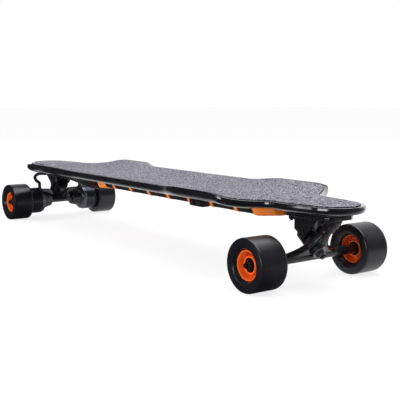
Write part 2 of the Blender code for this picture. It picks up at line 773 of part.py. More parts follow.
def make_baseplate(end, truck, frame):
    """The cast wedge: flange, side plates, kingpin boss, pivot boss, and the bolts that hold it."""
    over = 0.0002
    outline = rounded_box_outline(FLANGE_INBOARD, FLANGE_OUTBOARD, FLANGE_HALF, 0.010)
    depth = FLANGE_THICKNESS + over
    low = BASE_TOP - FLANGE_THICKNESS
    base = place(
        f"{end}_baseplate",
        plate("flange", [outline], depth, shift=(0, 0, low + depth / 2)),
        "black_metal",
        truck,
    )
    side = [(-0.017, low + 0.002), (-0.017, 0.084), (0.004, 0.070), (0.033, low + 0.002)]
    for y in (-0.0178, 0.0178):
        join(base, helper(plate("side_plate", [side], 0.0040, SIDE_ON, (0, y, 0)), truck))
    web = [(-0.026, low + 0.002), (-0.021, 0.084), (0.001, 0.076), (0.022, low + 0.002)]
    join(base, helper(plate("web", [web], 0.0160, SIDE_ON), truck))
    boss = rod(0.0140, -0.0330, -SEAT_DISTANCE, 20)
    join(base, helper(boss, frame, rotation=ALONG_KINGPIN))
    collar = rod(0.0118, PIVOT_DISTANCE - 0.0050, PIVOT_DISTANCE + 0.0220, 16, 0.0015)
    join(base, helper(collar, frame))
    ball = bmesh.new()
    bmesh.ops.create_uvsphere(ball, u_segments=14, v_segments=8, radius=0.0130)
    ball_mesh = bpy.data.meshes.new("ball")
    ball.to_mesh(ball_mesh)
    ball.free()
    join(base, helper(ball_mesh, frame, (0, 0, PIVOT_DISTANCE + 0.0095)))
    cut(base, helper(box(-0.1, 0.1, -0.1, 0.1, BASE_TOP, 0.16), truck))
    for x, y in bolt_places():
        join(base, helper(bolt_shape(), truck, (x, y, 0)))
        nut = plate("nut", [circle(0.0046, 6)], 0.0078, shift=(0, 0, low - 0.0017))
        join(base, helper(nut, truck, (x, y, 0)))
    bore = [
        (0, -0.0050),
        (KINGPIN_RADIUS + GAP, -0.0050),
        (KINGPIN_RADIUS + GAP, -0.0270),
        (0.0090, -0.0270),
        (0.0090, -0.0560),
        (0, -0.0560),
    ]
    cut(base, helper(turned(bore, 14, closed=False), frame, rotation=ALONG_KINGPIN))
    socket = rod(0.0093, PIVOT_DISTANCE - 0.0200, PIVOT_DISTANCE + 0.0085, 16)
    cut(base, helper(socket, frame))


def make_kingpin(end, frame):
    """Kingpin with its hexagonal head in the baseplate, cup washer and nut below the bushings."""
    turn = ALONG_KINGPIN
    head_low = -0.0270 - GAP
    nut_start = RING_HALF + ROADSIDE_BUSHING + WASHER_THICKNESS + 3 * GAP
    tip = nut_start + KINGPIN_NUT + 0.0025
    shank = rod(KINGPIN_RADIUS, head_low - 0.002, tip, 12, 0.0006)
    pin = place(f"{end}_kingpin", shank, "steel", frame, rotation=turn)
    head = plate("head", [circle(0.0080, 6)], KINGPIN_HEAD, shift=(0, 0, head_low - KINGPIN_HEAD / 2))
    join(pin, helper(head, frame, rotation=turn))

    washer_low = nut_start - GAP - WASHER_THICKNESS
    reach = 0.0120
    cup = [
        (reach, washer_low - 0.0015),
        (reach, washer_low + WASHER_THICKNESS * 0.6),
        (reach - 0.0008, washer_low + WASHER_THICKNESS),
    ]
    hole = KINGPIN_RADIUS + GAP
    inner = [(hole, washer_low + WASHER_THICKNESS), (hole, washer_low), (reach - 0.0010, washer_low)]
    inner.append((reach - 0.0010, washer_low - 0.0015))
    profile = list(reversed(cup)) + list(reversed(inner))
    place(f"{end}_cup_washer", turned(profile, 14), "steel", frame, rotation=turn)

    outline = [circle(0.0083, 6), circle(KINGPIN_RADIUS + GAP, 12)]
    nut = plate("kingpin_nut", outline, KINGPIN_NUT, shift=(0, 0, nut_start + KINGPIN_NUT / 2))
    place(f"{end}_kingpin_nut", nut, "steel", frame, rotation=turn)


def make_bushings(end, frame):
    hole = KINGPIN_RADIUS + GAP
    top, low = -RING_HALF - GAP, -SEAT_DISTANCE + GAP
    waist = (top + low) / 2
    barrel = [
        (BUSHING_RADIUS - 0.0006, top),
        (BUSHING_RADIUS, top - 0.0010),
        (BUSHING_RADIUS - 0.0008, waist),
        (BUSHING_RADIUS, low + 0.0010),
        (BUSHING_RADIUS - 0.0006, low),
        (hole, low),
        (hole, top),
    ]
    place(f"{end}_boardside_bushing", turned(barrel, 14), "bushing_urethane", frame, rotation=ALONG_KINGPIN)
    start = RING_HALF + GAP
    end_at = start + ROADSIDE_BUSHING
    cone = [
        (0.0104, end_at),
        (0.0106, end_at - 0.0010),
        (BUSHING_RADIUS - 0.0004, start + 0.0012),
        (BUSHING_RADIUS - 0.0010, start),
        (hole, start),
        (hole, end_at),
    ]
    place(f"{end}_roadside_bushing", turned(cone, 14), "bushing_urethane", frame, rotation=ALONG_KINGPIN)


def make_pivot_cup(end, frame):
    mouth, floor = PIVOT_DISTANCE - 0.0050, PIVOT_DISTANCE + 0.0082
    cup = [
        (0, floor),
        (0.0088, floor),
        (0.0090, floor - 0.0006),
        (0.0090, mouth),
        (0.0070, mouth),
        (0.0064, PIVOT_DISTANCE + 0.0010),
        (0.0050, PIVOT_DISTANCE + 0.0048),
        (0, PIVOT_DISTANCE + 0.0066),
    ]
    place(f"{end}_pivot_cup", turned(cup, 12, closed=False), "bushing_urethane", frame)


def hanger_outline(squeeze):
    """The hanger's triangular casting in the plane of the axle and the steering axis. The squeeze
    narrows it along the axle."""
    low = axle_in_frame()[1] - 0.0095
    right = [
        (0.0, low),
        (0.030, low),
        (0.052, low + 0.0016),
        (0.0565, low + 0.0050),
        (0.0565, low + 0.0125),
        (0.0500, low + 0.0168),
        (0.0400, low + 0.0205),
        (0.0300, low + 0.0258),
        (0.0215, low + 0.0342),
        (0.0150, low + 0.0447),
        (0.0105, low + 0.0547),
        (0.0080, low + 0.0587),
    ]
    arm_start = 0.030
    right = [(arm_start + (y - arm_start) * squeeze if y > arm_start else y, z) for y, z in right]
    return right + [(-y, z) for y, z in reversed(right[1:])]


def make_hanger(end, frame):
    pin_at, steer_at = axle_in_frame()
    squeeze = 1.0 if end == "front" else 0.55
    casting = plate("casting", [hanger_outline(squeeze)], 0.0110, FACING_X, (0.0004, 0, 0))
    hanger = place(f"{end}_hanger", casting, "black_metal", frame)
    bevel(hanger, 0.0022, 1)
    along_y = (math.radians(-90), 0, 0)
    tube_end, boss_end = 0.0965, WHEEL_MID_Y - BEARING_HALF - GAP
    tube = [
        (0, boss_end),
        (0.0058, boss_end),
        (0.0058, tube_end),
        (AXLE_TUBE_RADIUS - 0.0006, tube_end),
        (AXLE_TUBE_RADIUS, tube_end - 0.0006),
        (AXLE_TUBE_RADIUS, -tube_end + 0.0006),
        (AXLE_TUBE_RADIUS - 0.0006, -tube_end),
        (0.0058, -tube_end),
        (0.0058, -boss_end),
        (0, -boss_end),
    ]
    join(hanger, helper(turned(tube, 16, closed=False), frame, (pin_at, 0, steer_at), along_y))
    ring = rod(RING_RADIUS, -RING_HALF - 0.0013, RING_HALF + 0.0013, 20)
    join(hanger, helper(ring, frame, rotation=ALONG_KINGPIN))
    neck = [
        (0, PIVOT_DISTANCE + 0.0060),
        (0.0028, PIVOT_DISTANCE + 0.0053),
        (0.0050, PIVOT_DISTANCE + 0.0033),
        (0.0060, PIVOT_DISTANCE),
        (0.0060, PIVOT_DISTANCE - 0.0050),
        (0.0088, PIVOT_DISTANCE - 0.0090),
        (0.0095, PIVOT_DISTANCE - 0.0200),
        (0.0095, 0.0120),
        (0, 0.0120),
    ]
    join(hanger, helper(turned(neck, 12, closed=False), frame))
    if end == "rear":
        join_motor_tubes(hanger, frame)
    for low, high in ((RING_HALF, 0.0300), (-0.0300, -RING_HALF)):
        cut(hanger, helper(rod(SEAT_RADIUS, low, high, 16), frame, rotation=ALONG_KINGPIN))
    cut(hanger, helper(rod(RING_BORE, -0.0200, 0.0200, 14), frame, rotation=ALONG_KINGPIN))
    bore = rod(AXLE_RADIUS + GAP, -0.12, 0.12, 10)
    cut(hanger, helper(bore, frame, (pin_at, 0, steer_at), along_y))


def join_motor_tubes(hanger, frame):
    """The thick round arms that carry the motors, with a clamp ring at each end."""
    pin_at, steer_at = axle_in_frame()
    for side in (-1, 1):
        arm = [
            (0, BELL_INNER_Y - GAP),
            (MOTOR_TUBE_RADIUS, BELL_INNER_Y - GAP),
            (MOTOR_TUBE_RADIUS, 0.0470),
            (CLAMP_RADIUS, 0.0470),
            (CLAMP_RADIUS, 0.0430),
            (MOTOR_TUBE_RADIUS, 0.0430),
            (MOTOR_TUBE_RADIUS, 0.0300),
            (MOTOR_TUBE_RADIUS - 0.0040, 0.0270),
            (0, 0.0270),
        ]
        turn = (math.radians(-90 * side), 0, 0)
        join(hanger, helper(turned(arm, 20, closed=False), frame, (pin_at, 0, steer_at), turn))


def make_axle(end, frame):
    pin_at, steer_at = axle_in_frame()
    mesh = rod(AXLE_RADIUS, -AXLE_END_Y, AXLE_END_Y, 10, 0.0006)
    place(f"{end}_axle", mesh, "steel", frame, (pin_at, 0, steer_at), (math.radians(-90), 0, 0))


# Wheels, each about its own Z, which points outwards


def tyre_mesh():
    half = WHEEL_WIDTH / 2
    inner = CORE_RADIUS + GAP
    side = [
        (inner, half),
        (0.0370, half),
        (0.0402, half - 0.0022),
        (WHEEL_RADIUS, half - 0.0060),
    ]
    mirrored = [(r, -z) for r, z in reversed(side)]
    return turned(side + mirrored, 28)


def core_mesh():
    """Orange core: rim, web and hub."""
    rim_half = WHEEL_WIDTH / 2 - 0.0008
    profile = [
        (CORE_RADIUS, rim_half),
        (CORE_RADIUS, -rim_half),
        (0.0212, -rim_half),
        (0.0198, -0.0055),
        (0.0142, -0.0045),
        (0.0140, -0.0125),
        (BEARING_OUTER, -0.0125),
        (BEARING_OUTER, -0.0046),
        (0.0095, -0.0046),
        (0.0095, 0.0046),
        (BEARING_OUTER, 0.0046),
        (BEARING_OUTER, 0.0125),
        (0.0140, 0.0125),
        (0.0150, 0.0045),
        (0.0192, 0.0055),
        (0.0212, rim_half),
    ]
    return turned(profile, 18)


def bearing_mesh():
    """Both bearings with the spacer between them."""
    bore, outer = AXLE_RADIUS + GAP, BEARING_OUTER - GAP
    profile = [
        (outer, BEARING_HALF),
        (outer, 0.0050),
        (0.0065, 0.0050),
        (0.0065, -0.0050),
        (outer, -0.0050),
        (outer, -BEARING_HALF),
        (bore, -BEARING_HALF),
        (bore, BEARING_HALF),
    ]
    return turned(profile, 12)


def make_wheel(end, side_name, side, frame):
    """Tyre, core, bearings and nut on one end of the axle."""
    pin_at, steer_at = axle_in_frame()
    turn = (math.radians(-90 * side), 0, 0)
    hub = (pin_at, side * WHEEL_MID_Y, steer_at)
    tag = f"{end}_{side_name}"
    place(f"{tag}_tyre", tyre_mesh(), "tyre_urethane", frame, hub, turn)
    core = place(f"{tag}_core", core_mesh(), "core_orange", frame, hub, turn)
    windows = []
    count = 6
    for i in range(count):
        window = box(0.0158, 0.0182, -0.0026, 0.0026, -0.02, 0.02)
        window.transform(Matrix.Rotation(2 * math.pi * (i + 0.5) / count, 4, "Z"))
        windows.append(window)
    cut(core, helper(joined_meshes(windows), frame, hub, turn))
    place(f"{tag}_bearings", bearing_mesh(), "steel", frame, hub, turn)
    outline = [circle(0.0074, 6), circle(AXLE_RADIUS + GAP, 10)]
    start = WHEEL_MID_Y + BEARING_HALF + GAP
    nut = plate("axle_nut", outline, AXLE_NUT_LENGTH, shift=(0, 0, AXLE_NUT_LENGTH / 2))
    place(f"{tag}_axle_nut", nut, "black_metal", frame, (pin_at, side * start, steer_at), turn)


def make_motor(side_name, side, frame):
    """Stator with its end bell on the hanger, and the turning can that drives the wheel's core."""
    pin_at, steer_at = axle_in_frame()
    turn = (math.radians(-90 * side), 0, 0)
    centre = (pin_at, 0, steer_at)
    sleeve = AXLE_TUBE_RADIUS + GAP
    stator_start, stator_end, stator_radius = 0.0630, 0.0825, 0.0272
    face = MOTOR_INNER_Y - GAP
    profile = [
        (sleeve, stator_end),
        (stator_radius, stator_end),
        (stator_radius, stator_start),
        (0.0140, stator_start),
        (0.0140, face),
        (MOTOR_RADIUS - 0.0003, face),
        (MOTOR_RADIUS - 0.0003, face - 0.0012),
        (BELL_NECK_RADIUS, BELL_INNER_Y + 0.0012),
        (BELL_NECK_RADIUS - 0.0010, BELL_INNER_Y),
        (sleeve, BELL_INNER_Y),
    ]
    body = turned(profile, 20)
    stator = place(f"rear_{side_name}_motor_stator", body, "copper_winding", frame, centre, turn)
    slots = []
    count = 9
    for i in range(count):
        slot = box(0.0170, 0.0290, -0.0016, 0.0016, stator_start - 0.001, stator_end + 0.001)
        slot.transform(Matrix.Rotation(2 * math.pi * i / count, 4, "Z"))
        slots.append(slot)
    cut(stator, helper(joined_meshes(slots), frame, centre, turn))
    return stator


def make_rotor(side_name, side, frame):
    pin_at, steer_at = axle_in_frame()
    hub = (pin_at, side * WHEEL_MID_Y, steer_at)
    wall = 0.0020
    start, stop = MOTOR_INNER_Y - WHEEL_MID_Y, MOTOR_OUTER_Y - WHEEL_MID_Y
    web = -0.0055 - GAP
    profile = [
        (0.0190, web),
        (0.0190, stop),
        (MOTOR_RADIUS - 0.0008, stop),
        (MOTOR_RADIUS, stop - 0.0008),
        (MOTOR_RADIUS, start + 0.0006),
        (MOTOR_RADIUS - 0.0006, start),
        (MOTOR_RADIUS - wall, start),
        (MOTOR_RADIUS - wall, stop - 0.0032),
        (0.0092, stop - 0.0032),
        (0.0092, stop - 0.0004),
        (0.0155, stop - 0.0004),
        (0.0155, web),
    ]
    mesh = turned(profile, 24)
    place(f"rear_{side_name}_motor_can", mesh, "motor_shell", frame, hub, (math.radians(-90 * side), 0, 0))


def smooth_route(points, spacing):
    """Places at even steps along a Catmull-Rom curve through the points."""
    knots = [Vector(p) for p in points]
    padded = [2 * knots[0] - knots[1]] + knots + [2 * knots[-1] - knots[-2]]
    fine = []
    for i in range(len(knots) - 1):
        a, b, c, d = padded[i : i + 4]
        for step in range(24):
            t = step / 24
            square, cube = 2 * a - 5 * b + 4 * c - d, 3 * b - a - 3 * c + d
            fine.append(0.5 * (2 * b + (c - a) * t + square * t**2 + cube * t**3))
    fine.append(knots[-1])
    lengths = np.cumsum([0.0] + [(q - p).length for p, q in zip(fine, fine[1:], strict=False)])
    count = max(2, round(float(lengths[-1]) / spacing))
    wanted = np.linspace(0, lengths[-1], count + 1)
    coords = [np.interp(wanted, lengths, [p[axis] for p in fine]) for axis in range(3)]
    return list(zip(*coords, strict=True))


def make_motor_cable(side_name, side):
    """The motor's lead from the controller housing, round under the deck, into the motor's gland."""
    axle_x = -WHEELBASE / 2
    start_x = HOUSING_REAR - GAP
    route = [
        (start_x, 0.0440, 0.1085),
        (start_x - 0.009, 0.0440, 0.1085),
        (start_x - 0.024, 0.0452, 0.1080),
        (start_x - 0.042, 0.0505, 0.1070),
        (axle_x + 0.003, 0.0590, 0.1045),
        (axle_x - 0.003, 0.0640, 0.0980),
        (axle_x - 0.003, 0.0615, 0.0895),
        (axle_x, GLAND_Y + 0.0012, 0.0835),
        (axle_x, GLAND_Y, GLAND_TOP + GAP + 0.009),
        (axle_x, GLAND_Y, GLAND_TOP + GAP),
    ]
    data = bpy.data.curves.new("lead", "CURVE")
    data.dimensions = "3D"
    data.bevel_depth = CABLE_RADIUS
    data.bevel_resolution = 2
    data.use_fill_caps = True
    places = smooth_route([(x, side * y, z) for x, y, z in route], 2.2 * CABLE_RADIUS)
    spline = data.splines.new("POLY")
    spline.points.add(len(places) - 1)
    for point, place_at in zip(spline.points, places, strict=True):
        point.co = (*place_at, 1)
    place(f"rear_{side_name}_motor_cable", smoothed(to_mesh("lead", data)), "cable_rubber")


def make_truck(end):
    facing = 1 if end == "front" else -1
    truck = bpy.data.objects.new(f"{end}_truck", None)
    board.objects.link(truck)
    truck.location = (facing * WHEELBASE / 2, 0, 0)
    truck.rotation_euler = (0, 0, 0 if end == "front" else math.pi)
    frame = steer_frame(truck, f"{end}_steering_axis")
    holes = bolt_holes(truck)
    cut(deck, holes)
    cut(grip, holes)
    make_riser(end, truck, holes)
    make_baseplate(end, truck, frame)
    make_kingpin(end, frame)
    make_bushings(end, frame)
    make_pivot_cup(end, frame)
    make_hanger(end, frame)
    make_axle(end, frame)
    for side_name, side in (("left", 1), ("right", -1)):
        local_side = side * facing
        make_wheel(end, side_name, local_side, frame)
        if end == "rear":
            stator = make_motor(side_name, local_side, frame)
            pin_at, steer_at = axle_in_frame()
            gland = rod(GLAND_RADIUS, WHEEL_RADIUS + 0.0200, GLAND_TOP, 10)
            join(stator, helper(gland, truck, (0, local_side * GLAND_Y, 0)))
            make_rotor(side_name, local_side, frame)
            make_motor_cable(side_name, side)


for leftover in list(bpy.data.objects):
    bpy.data.objects.remove(leftover)
board = new_collection("electric_longboard")
helpers = new_collection("cutters")

deck = make_deck()
grip = make_grip()
make_tray()
covers = make_covers()
make_battery()
make_housing()
make_controller()
make_port_block(covers[PORT_COVER])
make_truck("front")
make_truck("rear")
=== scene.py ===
"""Looks of an electric longboard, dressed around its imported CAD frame.

Metres, +X towards the nose, +Y to the rider's left, +Z up, as in the frame.
"""

import json
import math

import bmesh
import bpy
import numpy as np
from mathutils import Matrix, Vector

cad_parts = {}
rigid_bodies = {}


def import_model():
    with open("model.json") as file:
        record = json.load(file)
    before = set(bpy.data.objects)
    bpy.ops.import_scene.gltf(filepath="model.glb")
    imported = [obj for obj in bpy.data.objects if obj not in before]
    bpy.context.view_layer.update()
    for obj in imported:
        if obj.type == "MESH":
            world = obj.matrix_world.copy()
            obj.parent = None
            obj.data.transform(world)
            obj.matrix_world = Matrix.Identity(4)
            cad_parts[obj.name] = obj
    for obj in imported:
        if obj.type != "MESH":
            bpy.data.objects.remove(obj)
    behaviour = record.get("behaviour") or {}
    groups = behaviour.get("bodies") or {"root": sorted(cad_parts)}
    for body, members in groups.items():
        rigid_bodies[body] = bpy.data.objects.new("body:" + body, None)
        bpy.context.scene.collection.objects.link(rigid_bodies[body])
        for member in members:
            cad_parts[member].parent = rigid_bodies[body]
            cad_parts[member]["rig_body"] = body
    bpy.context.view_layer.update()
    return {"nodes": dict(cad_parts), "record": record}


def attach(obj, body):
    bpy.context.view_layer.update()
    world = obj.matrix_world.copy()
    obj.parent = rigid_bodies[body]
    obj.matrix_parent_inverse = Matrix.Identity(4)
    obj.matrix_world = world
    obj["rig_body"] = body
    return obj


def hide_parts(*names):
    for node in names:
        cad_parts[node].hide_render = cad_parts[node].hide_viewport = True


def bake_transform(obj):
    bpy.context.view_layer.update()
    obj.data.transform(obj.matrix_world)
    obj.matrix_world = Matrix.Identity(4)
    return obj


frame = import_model()
nodes = frame["nodes"]

ENDS = {"front": 1, "rear": -1}
SIDES = {"left": 1, "right": -1}
AXLE_X, AXLE_Z = 0.436, 0.0415
WHEEL_Y, WHEEL_HALF, WHEEL_RADIUS = 0.1115, 0.0235, 0.0415
INNER_HALF = {"front": 0.0272, "rear": 0.0235}
CORE_RADIUS, RIM_RECESS, AXLE_REACH = 0.0230, 0.0060, 0.1332
RING_CENTRE, STEER_ANGLE = (0.0105, 0.0, 0.0575), math.radians(50)
DECK_TOP, THICKNESS = 0.1274, 0.0134
BOLT_PLACES = [(x, y) for x in (-0.022, 0.0415) for y in (-0.0206, 0.0206)]
BASE_TOP, FLANGE_LOW, BOLT_TIP = 0.1104, 0.1039, 0.0959
PORT_X, BUTTON_X, PORT_Z, BLOCK_FACE = 0.2463, 0.2290, 0.1092, 0.0780
WELD, CORNER_SHARE, NUT_STEPS = 2e-6, 0.45, 72

# Frames of the moving parts: each turned piece is made about its own Z


def truck_frame(end):
    """The truck's frame on the ground under its axle, x towards the deck's end."""
    turn = Matrix.Rotation(0 if end == "front" else math.pi, 4, "Z")
    return Matrix.Translation((ENDS[end] * AXLE_X, 0, 0)) @ turn


def kingpin_frame(end):
    """Z runs down the kingpin from the middle of the hanger's ring."""
    lean = Matrix.Rotation(math.radians(180) - STEER_ANGLE, 4, "Y")
    return truck_frame(end) @ Matrix.Translation(RING_CENTRE) @ lean


def axle_frame(end, side, y=0.0):
    """Z runs outwards along the axle from this distance off the middle."""
    place = Matrix.Translation((ENDS[end] * AXLE_X, side * y, AXLE_Z))
    return place @ Matrix.Rotation(math.radians(-90 * side), 4, "X")


def block_frame(x):
    """Z runs out of the port block's face, measured from the board's middle plane."""
    return Matrix.Translation((x, 0, PORT_Z)) @ Matrix.Rotation(math.radians(90), 4, "X")


# Meshes


def in_scene(name, data):
    """A new object with this data, linked into the scene."""
    made = bpy.data.objects.new(name, data)
    bpy.context.scene.collection.objects.link(made)
    return made


def around(count):
    """Even angles once round."""
    return np.arange(count) * 2 * np.pi / count


def grid_faces(rows, columns, wrap_rows=False, wrap_columns=False):
    """Quads between neighbouring points of a grid: (r, c), (r, c + 1), (r + 1, c + 1), (r + 1, c)."""
    r = np.arange(rows if wrap_rows else rows - 1)[:, None]
    c = np.arange(columns if wrap_columns else columns - 1)[None, :]
    below, beside = (r + 1) % rows, (c + 1) % columns
    corners = (r * columns + c, r * columns + beside, below * columns + beside, below * columns + c)
    return np.stack(np.broadcast_arrays(*corners), -1).reshape(-1, 4)


def make_piece(name, points, faces, look, body, sharp=35):
    """A closed surface from arrays of points and faces, riding on a body if one is given."""
    mesh = bpy.data.meshes.new(name)
    loops = [face for part in faces for face in part.tolist()]
    mesh.from_pydata(np.asarray(points).reshape(-1, 3).tolist(), [], loops)
    shape = bmesh.new()
    shape.from_mesh(mesh)
    bmesh.ops.remove_doubles(shape, verts=shape.verts, dist=WELD)
    bmesh.ops.dissolve_degenerate(shape, edges=shape.edges, dist=1e-7)
    bmesh.ops.recalc_face_normals(shape, faces=shape.faces)
    shape.to_mesh(mesh)
    shape.free()
    return finish_piece(name, mesh, look, body, sharp)


def finish_piece(name, mesh, look, body, sharp):
    """A mesh as a visible piece with its look, smooth where its faces meet below the sharp angle."""
    mesh.materials.clear()
    mesh.materials.append(look)
    mesh.shade_smooth()
    mesh.set_sharp_from_angle(angle=math.radians(sharp))
    piece = in_scene(name, mesh)
    if body:
        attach(piece, body)
    return piece


def weighted(piece):
    """Large faces keep their flat shading beside small rounds."""
    step = piece.modifiers.new("Flat faces stay flat", "WEIGHTED_NORMAL")
    step.keep_sharp = True
    step.weight = 80
    return piece


def rounded(profile, radius, steps=4):
    """Each inner corner of an open profile becomes a quadratic curve that starts and ends at the
    radius from the corner, or at CORNER_SHARE of its shorter side."""
    p = np.asarray(profile, float)
    before, here, after = p[:-2], p[1:-1], p[2:]
    r = np.broadcast_to(np.asarray(radius, float), len(here))
    one, two = before - here, after - here
    a, b = np.linalg.norm(one, axis=1), np.linalg.norm(two, axis=1)
    reach = np.minimum(r, CORNER_SHARE * np.minimum(a, b))
    start = here + one * (reach / a)[:, None]
    end = here + two * (reach / b)[:, None]
    t = np.linspace(0, 1, steps + 1)[None, :, None]
    curve = (1 - t) ** 2 * start[:, None] + 2 * t * (1 - t) * here[:, None] + t**2 * end[:, None]
    return np.concatenate([p[:1], curve.reshape(-1, p.shape[1]), p[-1:]])


def placed(points, matrix):
    """Points carried into a frame."""
    m = np.array(matrix)
    return points @ m[:3, :3].T + m[:3, 3]


def turned_points(profile, matrix, segments):
    """A profile of (radius, height) carried round Z: x = r cos a, y = r sin a, z = height."""
    p = np.asarray(profile, float)
    a = around(segments)
    height = np.broadcast_to(p[:, 1:2], (len(p), segments))
    return placed(np.stack([p[:, :1] * np.cos(a), p[:, :1] * np.sin(a), height], -1), matrix)


def turned_piece(name, profile, matrix, segments, look, body, closed=True, sharp=35):
    """A ring-shaped solid if the profile is closed, or a solid with its two ends on the axis."""
    points = turned_points(profile, matrix, segments)
    faces = grid_faces(len(profile), segments, wrap_rows=closed, wrap_columns=True)
    return weighted(make_piece(name, points, [faces], look, body, sharp))


def loop_round(profile, radius):
    """A closed profile with all its corners rounded."""
    p = list(profile)
    return rounded(p[-1:] + p + p[:1], radius)[1:-1]


def tube_points(path, radius, segments):
    """A circle carried along a path: its frame at each place is the last one turned by the least
    amount, and the radius may change along the way."""
    p = np.asarray(path, float)
    along = np.gradient(p, axis=0)
    along /= np.linalg.norm(along, axis=1)[:, None]
    first = np.cross(along[0], (0.0, 0.0, 1.0) if abs(along[0][2]) < 0.9 else (1.0, 0.0, 0.0))
    sides = [first / np.linalg.norm(first)]
    for direction in along[1:]:
        side = sides[-1] - direction * np.dot(sides[-1], direction)
        sides.append(side / np.linalg.norm(side))
    one = np.array(sides)
    two = np.cross(along, one)
    a = around(segments)
    r = np.broadcast_to(np.asarray(radius, float), len(p))[:, None, None]
    ring = one[:, None] * np.cos(a)[None, :, None] + two[:, None] * np.sin(a)[None, :, None]
    return p[:, None] + r * ring


def smooth_path(knots, count):
    """A cubic (Catmull-Rom) curve through the knots at even steps of its length."""
    steps_between = 24
    k = np.asarray(knots, float)
    k = np.concatenate([[2 * k[0] - k[1]], k, [2 * k[-1] - k[-2]]])
    t = np.linspace(0, 1, steps_between, endpoint=False)[None, :, None]
    a, b, c, d = (k[i : len(k) - 3 + i, None] for i in range(4))
    square, cube = 2 * a - 5 * b + 4 * c - d, 3 * b - a - 3 * c + d
    fine = 0.5 * (2 * b + (c - a) * t + square * t**2 + cube * t**3)
    fine = np.concatenate([fine.reshape(-1, 3), k[-2:-1]])
    length = np.concatenate([[0], np.cumsum(np.linalg.norm(np.diff(fine, axis=0), axis=1))])
    wanted = np.linspace(0, length[-1], count)
    return np.stack([np.interp(wanted, length, fine[:, i]) for i in range(3)], -1)


def cad_copy(source):
    """A CAD node's mesh with its loose triangles joined."""
    mesh = nodes[source].data.copy()
    shape = bmesh.new()
    shape.from_mesh(mesh)
    bmesh.ops.remove_doubles(shape, verts=shape.verts, dist=WELD)
    bmesh.ops.dissolve_limit(shape, angle_limit=math.radians(1), verts=shape.verts, edges=shape.edges)
    shape.to_mesh(mesh)
    shape.free()
    return mesh


def edged(source, look, width, segments=2):
    """A CAD node's own form with its edges rounded off."""
    piece = finish_piece(f"{source}_dressed", cad_copy(source), look, nodes[source]["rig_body"], 40)
    step = piece.modifiers.new("Rounded edges", "BEVEL")
    step.width = width
    step.segments = segments
    step.limit_method = "ANGLE"
    step.angle_limit = math.radians(28)
    weighted(piece)
    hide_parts(source)
    return piece


def cast(source, look, passes=5):
    """A CAD node's own form as a casting: all its edges and inner corners run smoothly together."""
    mesh = nodes[source].data.copy()
    shape = bmesh.new()
    shape.from_mesh(mesh)
    bmesh.ops.remove_doubles(shape, verts=shape.verts, dist=WELD)
    shape.to_mesh(mesh)
    shape.free()
    piece = finish_piece(f"{source}_dressed", mesh, look, nodes[source]["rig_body"], 180)
    step = piece.modifiers.new("Even skin", "REMESH")
    step.mode = "VOXEL"
    step.voxel_size = 0.0007
    step.use_smooth_shade = True
    step = piece.modifiers.new("Fillets", "SMOOTH")
    step.factor = 0.5
    step.iterations = passes
    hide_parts(source)
    return piece


def trim(piece, cuts):
    """Takes off what lies beyond each plane, given as a point and the way out, and closes the cut."""
    shape = bmesh.new()
    shape.from_mesh(piece.data)
    for place, out in cuts:
        geometry = shape.verts[:] + shape.edges[:] + shape.faces[:]
        cut = bmesh.ops.bisect_plane(
            shape, geom=geometry, dist=1e-7, plane_co=place, plane_no=out, clear_outer=True
        )
        edges = [part for part in cut["geom_cut"] if isinstance(part, bmesh.types.BMEdge)]
        bmesh.ops.holes_fill(shape, edges=edges, sides=0)
    shape.to_mesh(piece.data)
    shape.free()


def capped_piece(name, points, look, body, sharp):
    """A closed solid through rings of points, flat at both ends."""
    rows, columns = points.shape[:2]
    first = np.arange(columns)[None, ::-1]
    last = first[:, ::-1] + (rows - 1) * columns
    faces = [grid_faces(rows, columns, wrap_columns=True), first, last]
    return weighted(make_piece(name, points, faces, look, body, sharp))


# Materials


def group(name, inputs, outputs):
    """An empty shader node group with its named sockets."""
    made = bpy.data.node_groups.new(name, "ShaderNodeTree")
    for label, kind, value in inputs:
        socket = made.interface.new_socket(label, in_out="INPUT", socket_type=f"NodeSocket{kind}")
        if value is not None:
            socket.default_value = value
    for label, kind in outputs:
        made.interface.new_socket(label, in_out="OUTPUT", socket_type=f"NodeSocket{kind}")
    return made, made.nodes.new("NodeGroupInput"), made.nodes.new("NodeGroupOutput")


def filled(tree, made, values, links):
    """A node with values for its sockets and links into them, by socket name or number."""
    for key, value in (values or {}).items():
        made.inputs[key].default_value = value
    for key, source in (links or {}).items():
        tree.links.new(source, made.inputs[key])
    return made


def node(tree, kind, values=None, links=None, **settings):
    """One new node with its settings, values and links."""
    made = tree.nodes.new(f"ShaderNode{kind}")
    for key, value in settings.items():
        setattr(made, key, value)
    return filled(tree, made, values, links)


def times(tree, one, two):
    """The product of two links."""
    return node(tree, "Math", links={0: one, 1: two}, operation="MULTIPLY").outputs[0]


def mix_colour(tree, share, one, two):
    """The colour between two, each a link or a plain colour."""
    made = tree.nodes.new("ShaderNodeMix")
    made.data_type = "RGBA"
    for socket, value in ((made.inputs[0], share), (made.inputs[6], one), (made.inputs[7], two)):
        if isinstance(value, bpy.types.NodeSocket):
            tree.links.new(value, socket)
        else:
            socket.default_value = value
    return made.outputs[2]


def span(tree, value, low, high, to_low, to_high):
    """Maps a value from one range to another, clamped."""
    ends = {"From Min": low, "From Max": high, "To Min": to_low, "To Max": to_high}
    return node(tree, "MapRange", ends, {"Value": value}).outputs[0]


